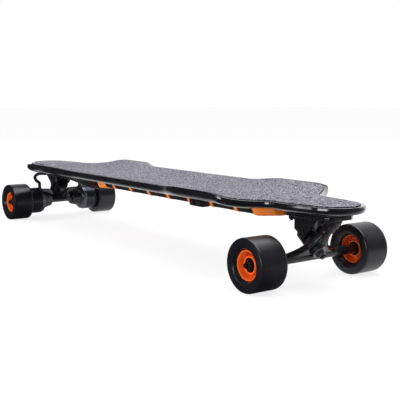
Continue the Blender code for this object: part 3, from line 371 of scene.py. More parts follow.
def make_grain_group():
    """Fine moulded or sprayed skin: noise of two sizes as a height, and its slow part as a tone."""
    made, into, out = group(
        "skin_grain",
        [
            ("Vector", "Vector", None),
            ("Scale", "Float", 1500.0),
            ("Waves", "Float", 60.0),
            ("Share", "Float", 0.3),
        ],
        [("Height", "Float"), ("Tone", "Float")],
    )
    fine = node(made, "TexNoise", {"Detail": 3.0}, {"Vector": into.outputs[0], "Scale": into.outputs[1]})
    slow = node(made, "TexNoise", {"Detail": 2.0}, {"Vector": into.outputs[0], "Scale": into.outputs[2]})
    both = node(made, "Mix", links={0: into.outputs[3], 2: fine.outputs[0], 3: slow.outputs[0]})
    made.links.new(both.outputs[0], out.inputs[0])
    made.links.new(slow.outputs[0], out.inputs[1])
    return made


def make_dust_group():
    """Light dust that lies on what faces up, broken up by noise: it pales the colour and dulls the gloss."""
    made, into, out = group(
        "settled_dust",
        [
            ("Vector", "Vector", None),
            ("Colour", "Color", (0.02, 0.02, 0.02, 1)),
            ("Dust Colour", "Color", (0.28, 0.27, 0.26, 1)),
            ("Roughness", "Float", 0.3),
            ("Amount", "Float", 0.1),
        ],
        [("Colour", "Color"), ("Roughness", "Float")],
    )
    clumps = {"Scale": 45.0, "Detail": 6.0, "Roughness": 0.7}
    noise = node(made, "TexNoise", clumps, {"Vector": into.outputs[0]})
    patches = span(made, noise.outputs[0], 0.35, 0.75, 0.0, 1.0)
    facing = node(made, "NewGeometry")
    up = node(made, "SeparateXYZ", links={0: facing.outputs["Normal"]})
    level = span(made, up.outputs[2], -0.2, 1.0, 0.15, 1.0)
    share = times(made, times(made, patches, level), into.outputs[4])
    colour = mix_colour(made, share, into.outputs[1], into.outputs[2])
    duller = node(made, "Mix", {3: 0.85}, {0: share, 2: into.outputs[3]})
    made.links.new(colour, out.inputs[0])
    made.links.new(duller.outputs[0], out.inputs[1])
    return made


GRAIN = make_grain_group()
DUST = make_dust_group()


def use_group(tree, which, values, links):
    """A shader node group placed in a material with its own values."""
    made = tree.nodes.new("ShaderNodeGroup")
    made.node_tree = which
    return filled(tree, made, values, links)


def new_material(name):
    """A material with its node tree, its shader and the place on the object."""
    made = bpy.data.materials.new(name)
    made.use_nodes = True
    tree = made.node_tree
    shader = tree.nodes["Principled BSDF"]
    place = node(tree, "TexCoord").outputs["Object"]
    return made, tree, shader, place


def skin(
    name, colour, roughness, metallic=0.0, coat=0.0, coat_roughness=0.05, scale=1500.0, waves=60.0,
    share=0.3, depth=0.00002, tone=0.15, spread=0.06, dust=0.06, specular=0.5,
):
    """A moulded, painted or metal finish: grain in the surface, a slow change of tone and gloss, and
    a little dust on top."""
    made, tree, shader, place = new_material(name)
    shader.inputs["Metallic"].default_value = metallic
    shader.inputs["Coat Weight"].default_value = coat
    shader.inputs["Coat Roughness"].default_value = coat_roughness
    shader.inputs["Specular IOR Level"].default_value = specular
    grain = use_group(tree, GRAIN, {"Scale": scale, "Waves": waves, "Share": share}, {"Vector": place})
    dark = tuple(c * (1 - tone) for c in colour) + (1,)
    light = tuple(min(1.0, c * (1 + tone)) for c in colour) + (1,)
    shade = span(tree, grain.outputs["Tone"], 0.35, 0.65, 0.0, 1.0)
    body = mix_colour(tree, shade, dark, light)
    gloss = span(tree, grain.outputs["Tone"], 0.3, 0.7, roughness - spread, roughness + spread)
    dusty = use_group(tree, DUST, {"Amount": dust}, {"Vector": place, "Colour": body, "Roughness": gloss})
    tree.links.new(dusty.outputs["Colour"], shader.inputs["Base Color"])
    tree.links.new(dusty.outputs["Roughness"], shader.inputs["Roughness"])
    bump = node(tree, "Bump", {"Strength": 1.0, "Distance": depth}, {"Height": grain.outputs["Height"]})
    tree.links.new(bump.outputs[0], shader.inputs["Normal"])
    return made


def grit_material():
    """Mineral grit on a dark backing: coarse light grains in clumps, finer ones between them."""
    backing, mineral = (0.012, 0.012, 0.016, 1), (0.50, 0.48, 0.56, 1)
    coarse_size = {"Scale": 400.0, "Detail": 2.0, "Roughness": 0.65}
    fine_size = {"Scale": 1300.0, "Detail": 3.0, "Roughness": 0.7}
    made, tree, shader, place = new_material("grip_grit")
    coarse = node(tree, "TexNoise", coarse_size, {"Vector": place})
    fine = node(tree, "TexNoise", fine_size, {"Vector": place})
    slow = node(tree, "TexNoise", {"Scale": 12.0, "Detail": 3.0}, {"Vector": place})
    both = node(tree, "Mix", {0: 0.30}, {2: coarse.outputs[0], 3: fine.outputs[0]})
    grain = span(tree, both.outputs[0], 0.46, 0.59, 0.0, 1.0)
    body = mix_colour(tree, grain, backing, mineral)
    drift = span(tree, slow.outputs[0], 0.3, 0.7, 0.85, 1.12)
    toned = node(tree, "VectorMath", links={0: body, 1: drift}, operation="MULTIPLY")
    tree.links.new(toned.outputs[0], shader.inputs["Base Color"])
    shader.inputs["Specular IOR Level"].default_value = 0.5
    gloss = span(tree, fine.outputs[0], 0.3, 0.7, 0.50, 0.85)
    tree.links.new(gloss, shader.inputs["Roughness"])
    bump = node(tree, "Bump", {"Strength": 1.0, "Distance": 0.0008}, {"Height": both.outputs[0]})
    tree.links.new(bump.outputs[0], shader.inputs["Normal"])
    return made


LACQUER = skin(
    "black_lacquer", (0.006, 0.006, 0.008), 0.16, coat=1.0, coat_roughness=0.09, scale=500.0, waves=25.0,
    depth=0.000006, share=0.7, dust=0.012, spread=0.04,
)
GRIT = grit_material()
ORANGE_RUBBER = skin(
    "orange_rubber", (1.0, 0.25, 0.035), 0.40, scale=2200.0, depth=0.00003, dust=0.03, tone=0.08,
)
PLASTIC = skin("black_plastic", (0.009, 0.009, 0.011), 0.30, scale=1800.0, dust=0.02)
SOFT_BLACK = skin("soft_black_urethane", (0.014, 0.014, 0.017), 0.42, scale=2000.0, dust=0.03)
BLACK_METAL = skin(
    "black_powder_coat", (0.007, 0.007, 0.009), 0.27, waves=70.0, depth=0.00001, coat=0.9,
    coat_roughness=0.07, dust=0.03, tone=0.1, spread=0.04,
)
DARK_STEEL = skin("black_oxide_steel", (0.030, 0.030, 0.034), 0.25, metallic=0.8, scale=2600.0, depth=0.00001)
NUT_STEEL = skin("oiled_steel", (0.34, 0.34, 0.35), 0.17, metallic=0.95, scale=2600.0, depth=0.00001)
TYRE = skin(
    "tyre_urethane", (0.007, 0.007, 0.010), 0.30, scale=900.0, waves=40.0, share=0.4, spread=0.04,
    dust=0.01, specular=0.6,
)
ORANGE_CORE = skin(
    "core_orange", (0.80, 0.115, 0.014), 0.20, scale=1600.0, depth=0.00001, coat=0.4, dust=0.01, tone=0.06,
)
TURNED = {"scale": 2600.0, "waves": 15.0, "depth": 0.000004, "tone": 0.05, "spread": 0.02, "dust": 0.01}
MOTOR_SHELL = skin("motor_shell", (0.045, 0.045, 0.056), 0.24, metallic=0.85, **TURNED)
END_BELL = skin("end_bell", (0.17, 0.17, 0.21), 0.26, metallic=0.9, **TURNED)
WINDING = skin("copper_winding", (0.45, 0.16, 0.06), 0.35, metallic=0.8, scale=900.0, depth=0.0001)
CABLE = skin("cable_sleeve", (0.008, 0.008, 0.009), 0.5, scale=2400.0, depth=0.00003, dust=0.02)
SHIELD = skin("bearing_shield", (0.007, 0.008, 0.008), 0.50, dust=0.0, specular=0.12)
CELLS = skin("cell_wrap", (0.05, 0.09, 0.22), 0.4)
CIRCUIT = skin("circuit_green", (0.02, 0.14, 0.06), 0.4)

# Camera and motor leads


def make_camera():
    """The photograph's own place, direction and lens."""
    place, yaw, pitch, roll = (1.27325, -0.83264, 0.2789), -3.77778, -0.12831, 0.00273
    focal_px, picture_px, sensor = 762.08, 400, 36
    ahead = Vector((math.cos(pitch) * math.cos(yaw), math.cos(pitch) * math.sin(yaw), math.sin(pitch)))
    right = ahead.cross(Vector((0, 0, 1))).normalized()
    up = right.cross(ahead)
    across = right * math.cos(roll) + up * math.sin(roll)
    upright = up * math.cos(roll) - right * math.sin(roll)
    data = bpy.data.cameras.new("camera")
    data.sensor_width = sensor
    data.sensor_fit = "HORIZONTAL"
    data.lens = focal_px / picture_px * sensor
    data.clip_start, data.clip_end = 0.05, 100
    camera = in_scene("camera", data)
    turn = Matrix((across, upright, -ahead)).transposed().to_4x4()
    camera.matrix_world = Matrix.Translation(place) @ turn
    bpy.context.scene.camera = camera


def make_lead(side_name):
    """One motor's lead: out of the housing, along under the deck and down into the gland, as a tube
    along a smooth curve through the route's points."""
    side = SIDES[side_name]
    radius, start_x, gland_y, gland_top = 0.0038, -0.3753, 0.0540, 0.0708
    rings, steps_round = 100, 24
    knots = [
        (start_x, 0.0440, 0.1085), (start_x - 0.009, 0.0440, 0.1085), (start_x - 0.024, 0.0452, 0.1080),
        (start_x - 0.042, 0.0505, 0.1070), (0.003 - AXLE_X, 0.0590, 0.1045),
        (-0.003 - AXLE_X, 0.0640, 0.0980), (-0.003 - AXLE_X, 0.0615, 0.0895),
        (-AXLE_X, gland_y + 0.0012, 0.0835), (-AXLE_X, gland_y, gland_top + 0.009),
        (-AXLE_X, gland_y, gland_top),
    ]
    path = smooth_path(knots, rings) * (1, side, 1)
    first, last = (point.repeat(steps_round, 0)[None] for point in (path[:1], path[-1:]))
    points = np.concatenate([first, tube_points(path, radius, steps_round), last])
    faces = grid_faces(*points.shape[:2], wrap_columns=True)
    lead = make_piece(f"rear_{side_name}_lead", points, [faces], CABLE, None, 60)
    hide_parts(f"rear_{side_name}_motor_cable")
    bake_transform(lead)


make_camera()
for side_name in SIDES:
    make_lead(side_name)

# Deck

HALF_LENGTH, WAIST, LOBE, NECK, NOSE = 0.5316, 0.1060, 0.1224, 0.0593, 0.045
LOBE_START, LOBE_FULL, NECK_START, NECK_FULL = 0.1609, 0.2347, 0.3480, 0.4096
FLAT, EDGE_LIFT, LIFT_END, LIFT_RUN = 0.030, 0.0126, 0.420, 0.10


def ease(t):
    """A smooth step from 0 to 1: 3 t^2 - 2 t^3."""
    t = np.clip(t, 0, 1)
    return t * t * (3 - 2 * t)


def half_width(x):
    """Waist, lobe, neck and nose joined by smooth steps, with a quarter circle at the tip."""
    a = np.abs(x)
    half = WAIST + (LOBE - WAIST) * ease((a - LOBE_START) / (LOBE_FULL - LOBE_START))
    half = half + (NECK - LOBE) * ease((a - NECK_START) / (NECK_FULL - NECK_START))
    half = half + (NOSE - NECK) * ease((a - NECK_FULL) / (HALF_LENGTH - NECK_FULL))
    into = np.clip(a - (HALF_LENGTH - NOSE), 0, NOSE)
    return half - NOSE + np.sqrt(np.maximum(NOSE**2 - into**2, 0))


def lift(x, y):
    """The concave: a cubic rise outside the flat middle that fades out before the trucks."""
    rise = np.maximum(np.abs(y) - FLAT, 0) / (LOBE - FLAT)
    return EDGE_LIFT * rise**3 * ease((LIFT_END - np.abs(x)) / LIFT_RUN)


def bolt_wells():
    """A cutter of eight short cylinders where the deck bolts' heads sit."""
    radius, steps = 0.0053, 32
    low, high = DECK_TOP - 0.0030, DECK_TOP + 0.0100
    circle = np.stack([np.cos(around(steps)), np.sin(around(steps))], -1) * radius
    centres = [(way * (AXLE_X + x), y) for way in ENDS.values() for x, y in BOLT_PLACES]
    points, faces = [], []
    for number, centre in enumerate(centres):
        for height in (low, high):
            points.append(np.column_stack([circle + centre, np.full(steps, height)]))
        first = 2 * steps * number
        middle = first + steps
        faces += (grid_faces(2, steps, wrap_columns=True) + first).tolist()
        faces += [list(range(middle - 1, first - 1, -1)), list(range(middle, middle + steps))]
    mesh = bpy.data.meshes.new("bolt_wells")
    mesh.from_pydata(np.concatenate(points).tolist(), [], faces)
    shape = bmesh.new()
    shape.from_mesh(mesh)
    bmesh.ops.recalc_face_normals(shape, faces=shape.faces)
    shape.to_mesh(mesh)
    shape.free()
    return in_scene("bolt_wells", mesh)


def sink_wells(piece):
    """Cuts the bolts' wells into the piece and leaves it a plain mesh."""
    cutter = bolt_wells()
    step = piece.modifiers.new("Wells", "BOOLEAN")
    step.operation = "DIFFERENCE"
    step.object = cutter
    bpy.context.view_layer.update()
    shown = piece.evaluated_get(bpy.context.evaluated_depsgraph_get())
    mesh = bpy.data.meshes.new_from_object(shown)
    piece.modifiers.clear()
    piece.data = mesh
    mesh.set_sharp_from_angle(angle=math.radians(50))
    bpy.data.objects.remove(cutter)


def board_layer(name, rings, look, replaced):
    """A board-shaped solid. Its outline is followed at even steps of its length; each ring is the
    outline moved in square to itself and set at a height over the concave top; the top and bottom
    faces are straight rows across, between the left and right halves of the first and last ring."""
    side_steps, nose_steps, columns = 150, 25, 40
    angle = np.linspace(0, np.pi / 2, nose_steps)[1:]
    nose = HALF_LENGTH - NOSE + NOSE * np.sin(angle)
    half = np.concatenate([np.linspace(0, HALF_LENGTH - NOSE, side_steps), nose])
    x = np.concatenate([-half[:0:-1], half])
    step, upright = 1e-5, 1e6
    low = np.clip(x - step, -HALF_LENGTH, HALF_LENGTH)
    high = np.clip(x + step, -HALF_LENGTH, HALF_LENGTH)
    slope = (half_width(high) - half_width(low)) / (2 * step)
    slope[0], slope[-1] = upright, -upright
    length = np.hypot(1, slope)
    inset = np.array([r[0] for r in rings])[:, None]
    height = np.array([r[1] for r in rings])[:, None]
    left_x = x + inset * slope / length
    left_y = np.maximum(half_width(x) - inset / length, 0)
    left = np.stack([left_x, left_y, DECK_TOP + lift(left_x, left_y) + height], -1)
    right = left * (1, -1, 1)
    loop = np.concatenate([left, right[:, -2:0:-1]], axis=1)
    faces = [grid_faces(len(rings), loop.shape[1], wrap_columns=True)]
    points = [loop.reshape(-1, 3)]
    used = points[0].shape[0]
    for ring in (0, -1):
        across = np.linspace(1, -1, columns)
        row_y = left_y[ring][:, None] * across
        row_x = np.broadcast_to(left_x[ring][:, None], row_y.shape)
        row_z = DECK_TOP + lift(row_x, row_y) + rings[ring][1]
        face = np.stack([row_x, row_y, row_z], -1)
        points.append(face.reshape(-1, 3))
        faces.append(grid_faces(*face.shape[:2]) + used)
        used += face.shape[0] * face.shape[1]
    piece = make_piece(name, np.concatenate(points), faces, look, "board", 50)
    sink_wells(piece)
    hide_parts(replaced)


DECK_EDGE = [
    (0.0046, 0.0), (0.0007, 0.0), (0.0, -0.0056), (0.0012, -0.0088), (0.0048, -0.0112), (0.0125, -THICKNESS),
    (0.0155, -THICKNESS),
]
EDGE_RADII = [0.0014, 0.0016, 0.0014, 0.0020, 0.0030]
GRIP_EDGE = [(0.0084, 0.0015), (0.0080, 0.0015), (0.0080, 0.0004), (0.0084, 0.0004)]
board_layer("deck_board", rounded(DECK_EDGE, EDGE_RADII, 6), LACQUER, "deck")
board_layer("grip_sheet", rounded(GRIP_EDGE, 0.0003, 3), GRIT, "grip_tape")

# Nuts and bolts


def hexagon(flat):
    """Radius over the angle round six flats, with a corner at angle 0."""
    return flat / np.cos(around(NUT_STEPS) % (np.pi / 3) - np.pi / 6)


def ring_rows(rows, matrix):
    """Rows of (radius over the angle, height) as points round Z."""
    radius = np.stack([np.broadcast_to(row[0], NUT_STEPS) for row in rows])
    a = around(NUT_STEPS)
    height = np.broadcast_to(np.array([row[1] for row in rows], float)[:, None], radius.shape)
    return placed(np.stack([radius * np.cos(a), radius * np.sin(a), height], -1), matrix)


def rows_piece(name, rows, matrix, look, body, closed=True):
    """A solid round Z from rows whose radius may change over the angle."""
    points = ring_rows(rows, matrix)
    faces = grid_faces(*points.shape[:2], wrap_rows=closed, wrap_columns=True)
    return weighted(make_piece(name, points, [faces], look, body))


def nut_rows(flat, bore, start, length, collar=0.0):
    """A six-sided nut, cut by a round chamfer at both ends; the collar is its round locking end."""
    six = hexagon(flat)
    top = start + length - collar
    rows = [
        (bore, start), (flat * 0.98, start), (np.minimum(six, flat * 1.06), start + 0.0004),
        (six, start + 0.0011), (six, top - 0.0011), (np.minimum(six, flat * 1.06), top - 0.0004),
        (flat * 0.98, top),
    ]
    if collar:
        rows += [(flat * 0.86, top), (flat * 0.84, top + collar - 0.0005), (flat * 0.76, top + collar)]
    return rows + [(bore + 0.0004, start + length), (bore, start + length - 0.0004)]


def thread(radius, low, high, pitch):
    """The zigzag side of a thread, from high to low."""
    depth = 0.16 * pitch
    count = int((high - low) / pitch) * 2
    z = np.linspace(high, low, count + 1)
    r = radius - depth * (1 + np.cos(np.arange(count + 1) * np.pi))
    return list(zip(r, z, strict=True))


def deck_bolts(end):
    """Countersunk deck bolts with six-sided sockets, their lock nuts and thread ends."""
    for number, (x, y) in enumerate(BOLT_PLACES, 1):
        place = truck_frame(end) @ Matrix.Translation((x, y, 0))
        top = DECK_TOP - 0.0003
        rows = [
            (0.0, top - 0.0017), (hexagon(0.0016), top - 0.0017), (hexagon(0.0017), top - 0.0002),
            (0.0022, top), (0.0046, top), (0.0049, top - 0.0003), (0.0025, top - 0.0027),
            (0.0025, FLANGE_LOW),
        ]
        rows += thread(0.0025, BOLT_TIP + 0.0006, FLANGE_LOW, 0.0008)[1:]
        rows += [(0.0019, BOLT_TIP), (0.0, BOLT_TIP)]
        bolt = rows_piece(f"{end}_deck_bolt_{number}", rows, place, DARK_STEEL, "board", False)
        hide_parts(f"{end}_baseplate")
        under = place @ Matrix.Translation((0, 0, FLANGE_LOW)) @ Matrix.Rotation(math.pi, 4, "X")
        rows = nut_rows(0.0041, 0.0024, 0.0, 0.0056, 0.0014)
        nut = rows_piece(f"{end}_deck_nut_{number}", rows, under, DARK_STEEL, "board")
        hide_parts(f"{end}_baseplate")


# Wheels


def tyre_side(half):
    """Core's seat, a slope up from the sunk core, a flat side wall and a short round shoulder."""
    inner = CORE_RADIUS + 0.0003
    return [
        (inner, half - RIM_RECESS + 0.0003), (0.0240, half - 0.0046), (0.0268, half - 0.0010), (0.0298, half),
        (0.0383, half), (0.0406, half - 0.0009), (WHEEL_RADIUS, half - 0.0034),
    ]


def tyre_profile(outer, inner):
    """From the outer side over the tread to the inner one; each has its own distance from the middle."""
    radii = [0.0006, 0.0016, 0.0020, 0.0006, 0.0010, 0.0010]
    back = [(r, -d) for r, d in reversed(tyre_side(inner))]
    return rounded(tyre_side(outer) + back, radii + radii[::-1], 6)


def core_rows(half):
    """The core's outer face as radius, depth and share of the pockets: a rim, a bowl and a hub ring.
    Rows go from the bearing's seat on the outer face, over the rim, and back to the seat."""
    rim = half - RIM_RECESS
    outer = [
        (0.0112, 0.0050, 0), (0.0112, 0.0120, 0), (0.0115, 0.0124, 0), (0.0135, 0.0125, 0),
        (0.0139, 0.0122, 0), (0.0141, 0.0114, 0), (0.0142, 0.0088, 0.2), (0.0146, 0.0066, 0.8),
        (0.0156, 0.0056, 1), (0.0168, 0.0060, 1), (0.0180, 0.0078, 0.9), (0.0190, 0.0106, 0.6),
        (0.0197, 0.0134, 0.25), (0.0204, 0.0160, 0.05), (0.0210, rim - 0.0008, 0),
        (0.0214, rim - 0.0002, 0), (0.0218, rim, 0), (0.0226, rim, 0), (0.0229, rim - 0.0003, 0),
        (0.0230, rim - 0.0008, 0),
    ]
    inner = [
        (0.0230, -rim + 0.0008, 0), (0.0226, -rim, 0), (0.0216, -rim, 0), (0.0212, -rim + 0.0006, 0),
        (0.0204, -0.0120, 0.1), (0.0197, -0.0078, 0.3), (0.0188, -0.0064, 0.8), (0.0172, -0.0062, 1),
        (0.0152, -0.0062, 1), (0.0142, -0.0070, 0.3), (0.0140, -0.0118, 0), (0.0136, -0.0125, 0),
        (0.0114, -0.0125, 0), (0.0112, -0.0120, 0), (0.0112, -0.0050, 0),
    ]
    return np.array(outer + inner)


def core_points(half, matrix):
    """Both faces of the core with their pockets between six ribs, sunk by a smooth step of the angle."""
    ribs, segments, outer_depth, inner_depth = 6, 144, 0.0046, -0.0022
    a = around(segments)
    pocket = ease((np.cos(ribs * a) + 0.62) / 0.42)[None, :]
    rows = core_rows(half)
    deep = np.where(rows[:, 1:2] > 0, outer_depth, inner_depth)
    d = rows[:, 1:2] - deep * rows[:, 2:3] * pocket
    r = np.broadcast_to(rows[:, :1], d.shape)
    return placed(np.stack([r * np.cos(a), r * np.sin(a), d], -1), matrix)


def bearing_profile():
    """Outer race, sunk shield and inner race of each bearing, and the spacer between them."""
    half, bore, outer = 0.0120, 0.0043, 0.0107
    end = [
        (outer, half - 0.0003), (outer - 0.0003, half), (0.0094, half), (0.0092, half - 0.0004),
        (0.0064, half - 0.0004), (0.0062, half), (bore + 0.0003, half), (bore, half - 0.0003),
    ]
    back = [(r, -d) for r, d in reversed(end)]
    waist = [(outer, -0.0050), (0.0065, -0.0050), (0.0065, 0.0050), (outer, 0.0050)]
    return end + back + waist


def make_wheel(end, side_name):
    """Tyre, core and bearings that turn, and the lock nut that stays on the axle."""
    side = SIDES[side_name]
    tag, body = f"{end}_{side_name}", f"{end}_{side_name}_wheel"
    place = axle_frame(end, side, WHEEL_Y)
    profile = tyre_profile(WHEEL_HALF, INNER_HALF[end])
    tyre = turned_piece(f"{tag}_tread", profile, place, 160, TYRE, body, sharp=60)
    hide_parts(f"{tag}_tyre")
    points = core_points(WHEEL_HALF, place)
    faces = grid_faces(*points.shape[:2], wrap_rows=True, wrap_columns=True)
    core = weighted(make_piece(f"{tag}_spoked_core", points, [faces], ORANGE_CORE, body, 60))
    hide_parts(f"{tag}_core")
    bearing = turned_piece(f"{tag}_shielded_bearings", bearing_profile(), place, 64, SHIELD, body)
    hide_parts(f"{tag}_bearings")
    rows = nut_rows(0.0064, 0.0041, 0.0123, 0.0060, 0.0016)
    nut = rows_piece(f"{tag}_lock_nut", rows, place, BLACK_METAL, f"{end}_hanger")
    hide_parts(f"{tag}_axle_nut")


# Trucks


def make_axle(end):
    """A round bar with threaded and chamfered ends."""
    side = thread(0.0040, AXLE_REACH - 0.009, AXLE_REACH - 0.0006, 0.0010)
    half = [(0.0, AXLE_REACH), (0.0032, AXLE_REACH)] + side
    profile = half + [(r, -z) for r, z in reversed(half)]
    place, hanger = axle_frame(end, 1), f"{end}_hanger"
    axle = turned_piece(f"{end}_axle_bar", profile, place, 40, DARK_STEEL, hanger, False)
    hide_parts(f"{end}_axle")


KINGPIN_SET = {
    "boardside_bushing": ([
        (0.0121, -0.0048), (0.0127, -0.0058), (0.0119, -0.0095), (0.0127, -0.0132), (0.0121, -0.0142),
        (0.0053, -0.0142), (0.0053, -0.0048),
    ], SOFT_BLACK, "soft_black"),
    "roadside_bushing": ([
        (0.0104, 0.0122), (0.0106, 0.0112), (0.0123, 0.0060), (0.0117, 0.0048), (0.0053, 0.0048),
        (0.0053, 0.0122),
    ], SOFT_BLACK, "soft_black"),
    "cup_washer": ([
        (0.0112, 0.0137), (0.0120, 0.0132), (0.0120, 0.0110), (0.0110, 0.0110), (0.0110, 0.0125),
        (0.0053, 0.0125), (0.0053, 0.0137),
    ], NUT_STEEL, "steel"),
}


def make_kingpin_set(end):
    """Bushings, cup washer, nut and kingpin on the kingpin's line."""
    place = kingpin_frame(end)
    for name, (profile, look, slot) in KINGPIN_SET.items():
        profile = loop_round(profile, 0.0006)
        if slot == "steel":
            piece = turned_piece(f"{end}_{name}_round", profile, place, 64, look, "board")
        else:
            points = turned_points(profile, place, 64)
            faces = grid_faces(*points.shape[:2], wrap_rows=True, wrap_columns=True)
            piece = make_piece(f"{end}_{name}_round", points, [faces], look, None)
        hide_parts(f"{end}_{name}")
        if slot != "steel":
            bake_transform(piece)
    rows = nut_rows(0.0072, 0.0051, 0.0140, 0.0070, 0.0016)
    nut = rows_piece(f"{end}_kingpin_lock_nut", rows, place, NUT_STEEL, "board")
    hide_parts(f"{end}_kingpin_nut")
    tip, seat, head = 0.0235, -0.0273, -0.0328
    rows = [(0.0, tip), (0.0041, tip)] + thread(0.0050, 0.0130, tip - 0.0008, 0.0010) + [
        (0.0050, seat), (hexagon(0.0069), seat), (hexagon(0.0069), head + 0.0008), (0.0068, head),
        (0.0, head),
    ]
    pin = rows_piece(f"{end}_kingpin_bolt", rows, place, DARK_STEEL, "board", False)
    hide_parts(f"{end}_kingpin")


def widen_arms(piece):
    """The rear hanger's round motor arms become cones that widen outwards."""
    least_out, most_out, least_radius, most_radius = 0.0265, 0.0485, 0.0155, 0.0225
    for point in piece.data.vertices:
        along, level = point.co.x + AXLE_X, point.co.z - AXLE_Z
        radius, out = math.hypot(along, level), abs(point.co.y)
        if least_out < out < most_out and least_radius < radius < most_radius:
            wanted = np.interp(out, [0.027, 0.0475], [0.0155, 0.0215])
            point.co.x = along * wanted / radius - AXLE_X
            point.co.z = level * wanted / radius + AXLE_Z


WEB_OUTLINE = [
    (0.0180, 0.0400), (0.0180, 0.0600), (0.0260, 0.0670), (0.0440, 0.0680), (0.0478, 0.0650),
    (0.0478, 0.0400),
]
WEB_LAYERS = [
    (0.0000, 0.0014), (0.0004, 0.0004), (0.0014, 0.0), (0.0086, 0.0), (0.0096, 0.0004), (0.0100, 0.0014),
]


def make_web(name, side):
    """A rounded plate between the rear hanger's ring and its motor arm. Each layer is the outline
    drawn in towards its middle, at a depth behind the axle."""
    outline = rounded(WEB_OUTLINE, 0.0030, 5)
    middle, half_height = np.array([0.032, 0.052]), 0.016
    rings = []
    for depth, inset in WEB_LAYERS:
        flat = outline + (middle - outline) * (inset / half_height)
        rings.append(np.column_stack([np.full(len(flat), -AXLE_X - depth), side * flat[:, 0], flat[:, 1]]))
    points = np.stack(rings)
    piece = capped_piece(f"rear_hanger_web_{name}", points, BLACK_METAL, "rear_hanger", 35)
    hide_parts("rear_hanger")


def make_hanger(end):
    """The casting; at the rear with its wider arms and their webs."""
    piece = cast(f"{end}_hanger", BLACK_METAL)
    if end == "front":
        return
    widen_arms(piece)
    for name, side in SIDES.items():
        make_web(name, side)


def make_baseplate(end):
    """The cast wedge without its bolts' upper parts, which are pieces of their own."""
    piece = cast(f"{end}_baseplate", BLACK_METAL, passes=3)
    trim(piece, [((0, 0, BASE_TOP + 0.0001), (0, 0, 1))])


# Motors


def make_motor(side_name):
    """Rotor can with a shallow groove, a stepped end bell, the lead's gland and the wound stator."""
    side, tag = SIDES[side_name], f"rear_{side_name}"
    place, hanger = axle_frame("rear", side), "rear_hanger"
    can = [
        (0.0155, 0.1057), (0.0190, 0.1057), (0.0190, 0.0875), (0.0305, 0.0875), (0.0305, 0.0827),
        (0.0302, 0.0824), (0.0302, 0.0814), (0.0305, 0.0811), (0.0305, 0.0600), (0.0285, 0.0600),
        (0.0285, 0.0843), (0.0092, 0.0843), (0.0092, 0.0871), (0.0155, 0.0871),
    ]
    can = loop_round(can, 0.0006)
    piece = turned_piece(f"{tag}_rotor", can, place, 128, MOTOR_SHELL, f"{tag}_wheel")
    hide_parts(f"{tag}_motor_can")
    bell = [
        (0.0083, 0.0597), (0.0302, 0.0597), (0.0302, 0.0572), (0.0298, 0.0567), (0.0289, 0.0563),
        (0.0287, 0.0538), (0.0283, 0.0523), (0.0270, 0.0512), (0.0258, 0.0506), (0.0254, 0.0497),
        (0.0246, 0.0492), (0.0240, 0.0487), (0.0226, 0.0479), (0.0083, 0.0479),
    ]
    bell = loop_round(bell, 0.0005)
    piece = turned_piece(f"{tag}_end_bell", bell, place, 128, END_BELL, hanger)
    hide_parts(f"{tag}_motor_stator")
    tall = Matrix.Translation((-AXLE_X, side * 0.0540, 0))
    gland = [
        (0.0, 0.0705), (0.0044, 0.0705), (0.0052, 0.0695), (0.0052, 0.0662), (0.0046, 0.0660),
        (0.0046, 0.0652), (0.0052, 0.0650), (0.0052, 0.0600), (0.0, 0.0600),
    ]
    gland = rounded(gland, 0.0004)
    piece = turned_piece(f"{tag}_gland", gland, tall, 48, SOFT_BLACK, hanger, False)
    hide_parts(f"{tag}_motor_stator")
    count, tip, slot_depth = 9, 0.0272, 0.0050
    teeth = tip - slot_depth * ease((np.cos(count * around(NUT_STEPS)) + 0.2) / 0.3)
    rows = [
        (0.0083, 0.0600), (0.0140, 0.0600), (0.0140, 0.0630), (teeth - 0.0006, 0.0630), (teeth, 0.0636),
        (teeth, 0.0819), (teeth - 0.0006, 0.0825), (0.0083, 0.0825),
    ]
    piece = rows_piece(f"{tag}_winding", rows, place, WINDING, hanger)
    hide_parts(f"{tag}_motor_stator")


for end in ENDS:
    for side_name in SIDES:
        make_wheel(end, side_name)
    make_axle(end)
    make_kingpin_set(end)
    make_hanger(end)
    make_baseplate(end)
    deck_bolts(end)
    edged(f"{end}_riser", SOFT_BLACK, 0.0004)
for side_name in SIDES:
    make_motor(side_name)

# Enclosure

TRAY_REAR, REAR_CAP_FRONT, TRAY_FRONT, CAP_END = -0.128, -0.095, 0.372, 0.3965
RIB_FIRST, RIB_PITCH, RIB_COUNT, RIB_HALF = -0.060, 0.0647, 7, 0.0041
SIDE_TOP_Y, SIDE_LOW_Y, FLOOR_Y = 0.0690, 0.0612, 0.0450
SIDE_LOW_Z, FLOOR_Z, INTO_DECK = 0.1033, 0.1010, 0.0020
COVER_INSET, COVER_GAP, END_ROUND = 0.0008, 0.0003, 0.0006


def tray_loop(inset, drop=0.0, squeeze=0.0):
    """The enclosure's section as (y, z), from one side of the deck over the flat floor to the other."""
    low = SIDE_LOW_Y - squeeze - 0.7 * inset
    floor = FLOOR_Y - 0.75 * squeeze - 0.3 * inset
    half = [
        (SIDE_TOP_Y - squeeze - 1.3 * inset, DECK_TOP - THICKNESS + INTO_DECK),
        (low, SIDE_LOW_Z - drop + 0.8 * inset), (floor, FLOOR_Z - drop + inset),
    ]
    whole = half + [(-y, z) for y, z in reversed(half)]
    return rounded(whole, 0.0022, 4)


def lofted_piece(name, stations, look):
    """A closed solid through sections at (x, inset, drop, squeeze), flat at both ends."""
    rings = []
    for x, *shape in stations:
        loop = tray_loop(*shape)
        rings.append(np.column_stack([np.full(len(loop), x), loop]))
    return capped_piece(name, np.stack(rings), look, "board", 40)


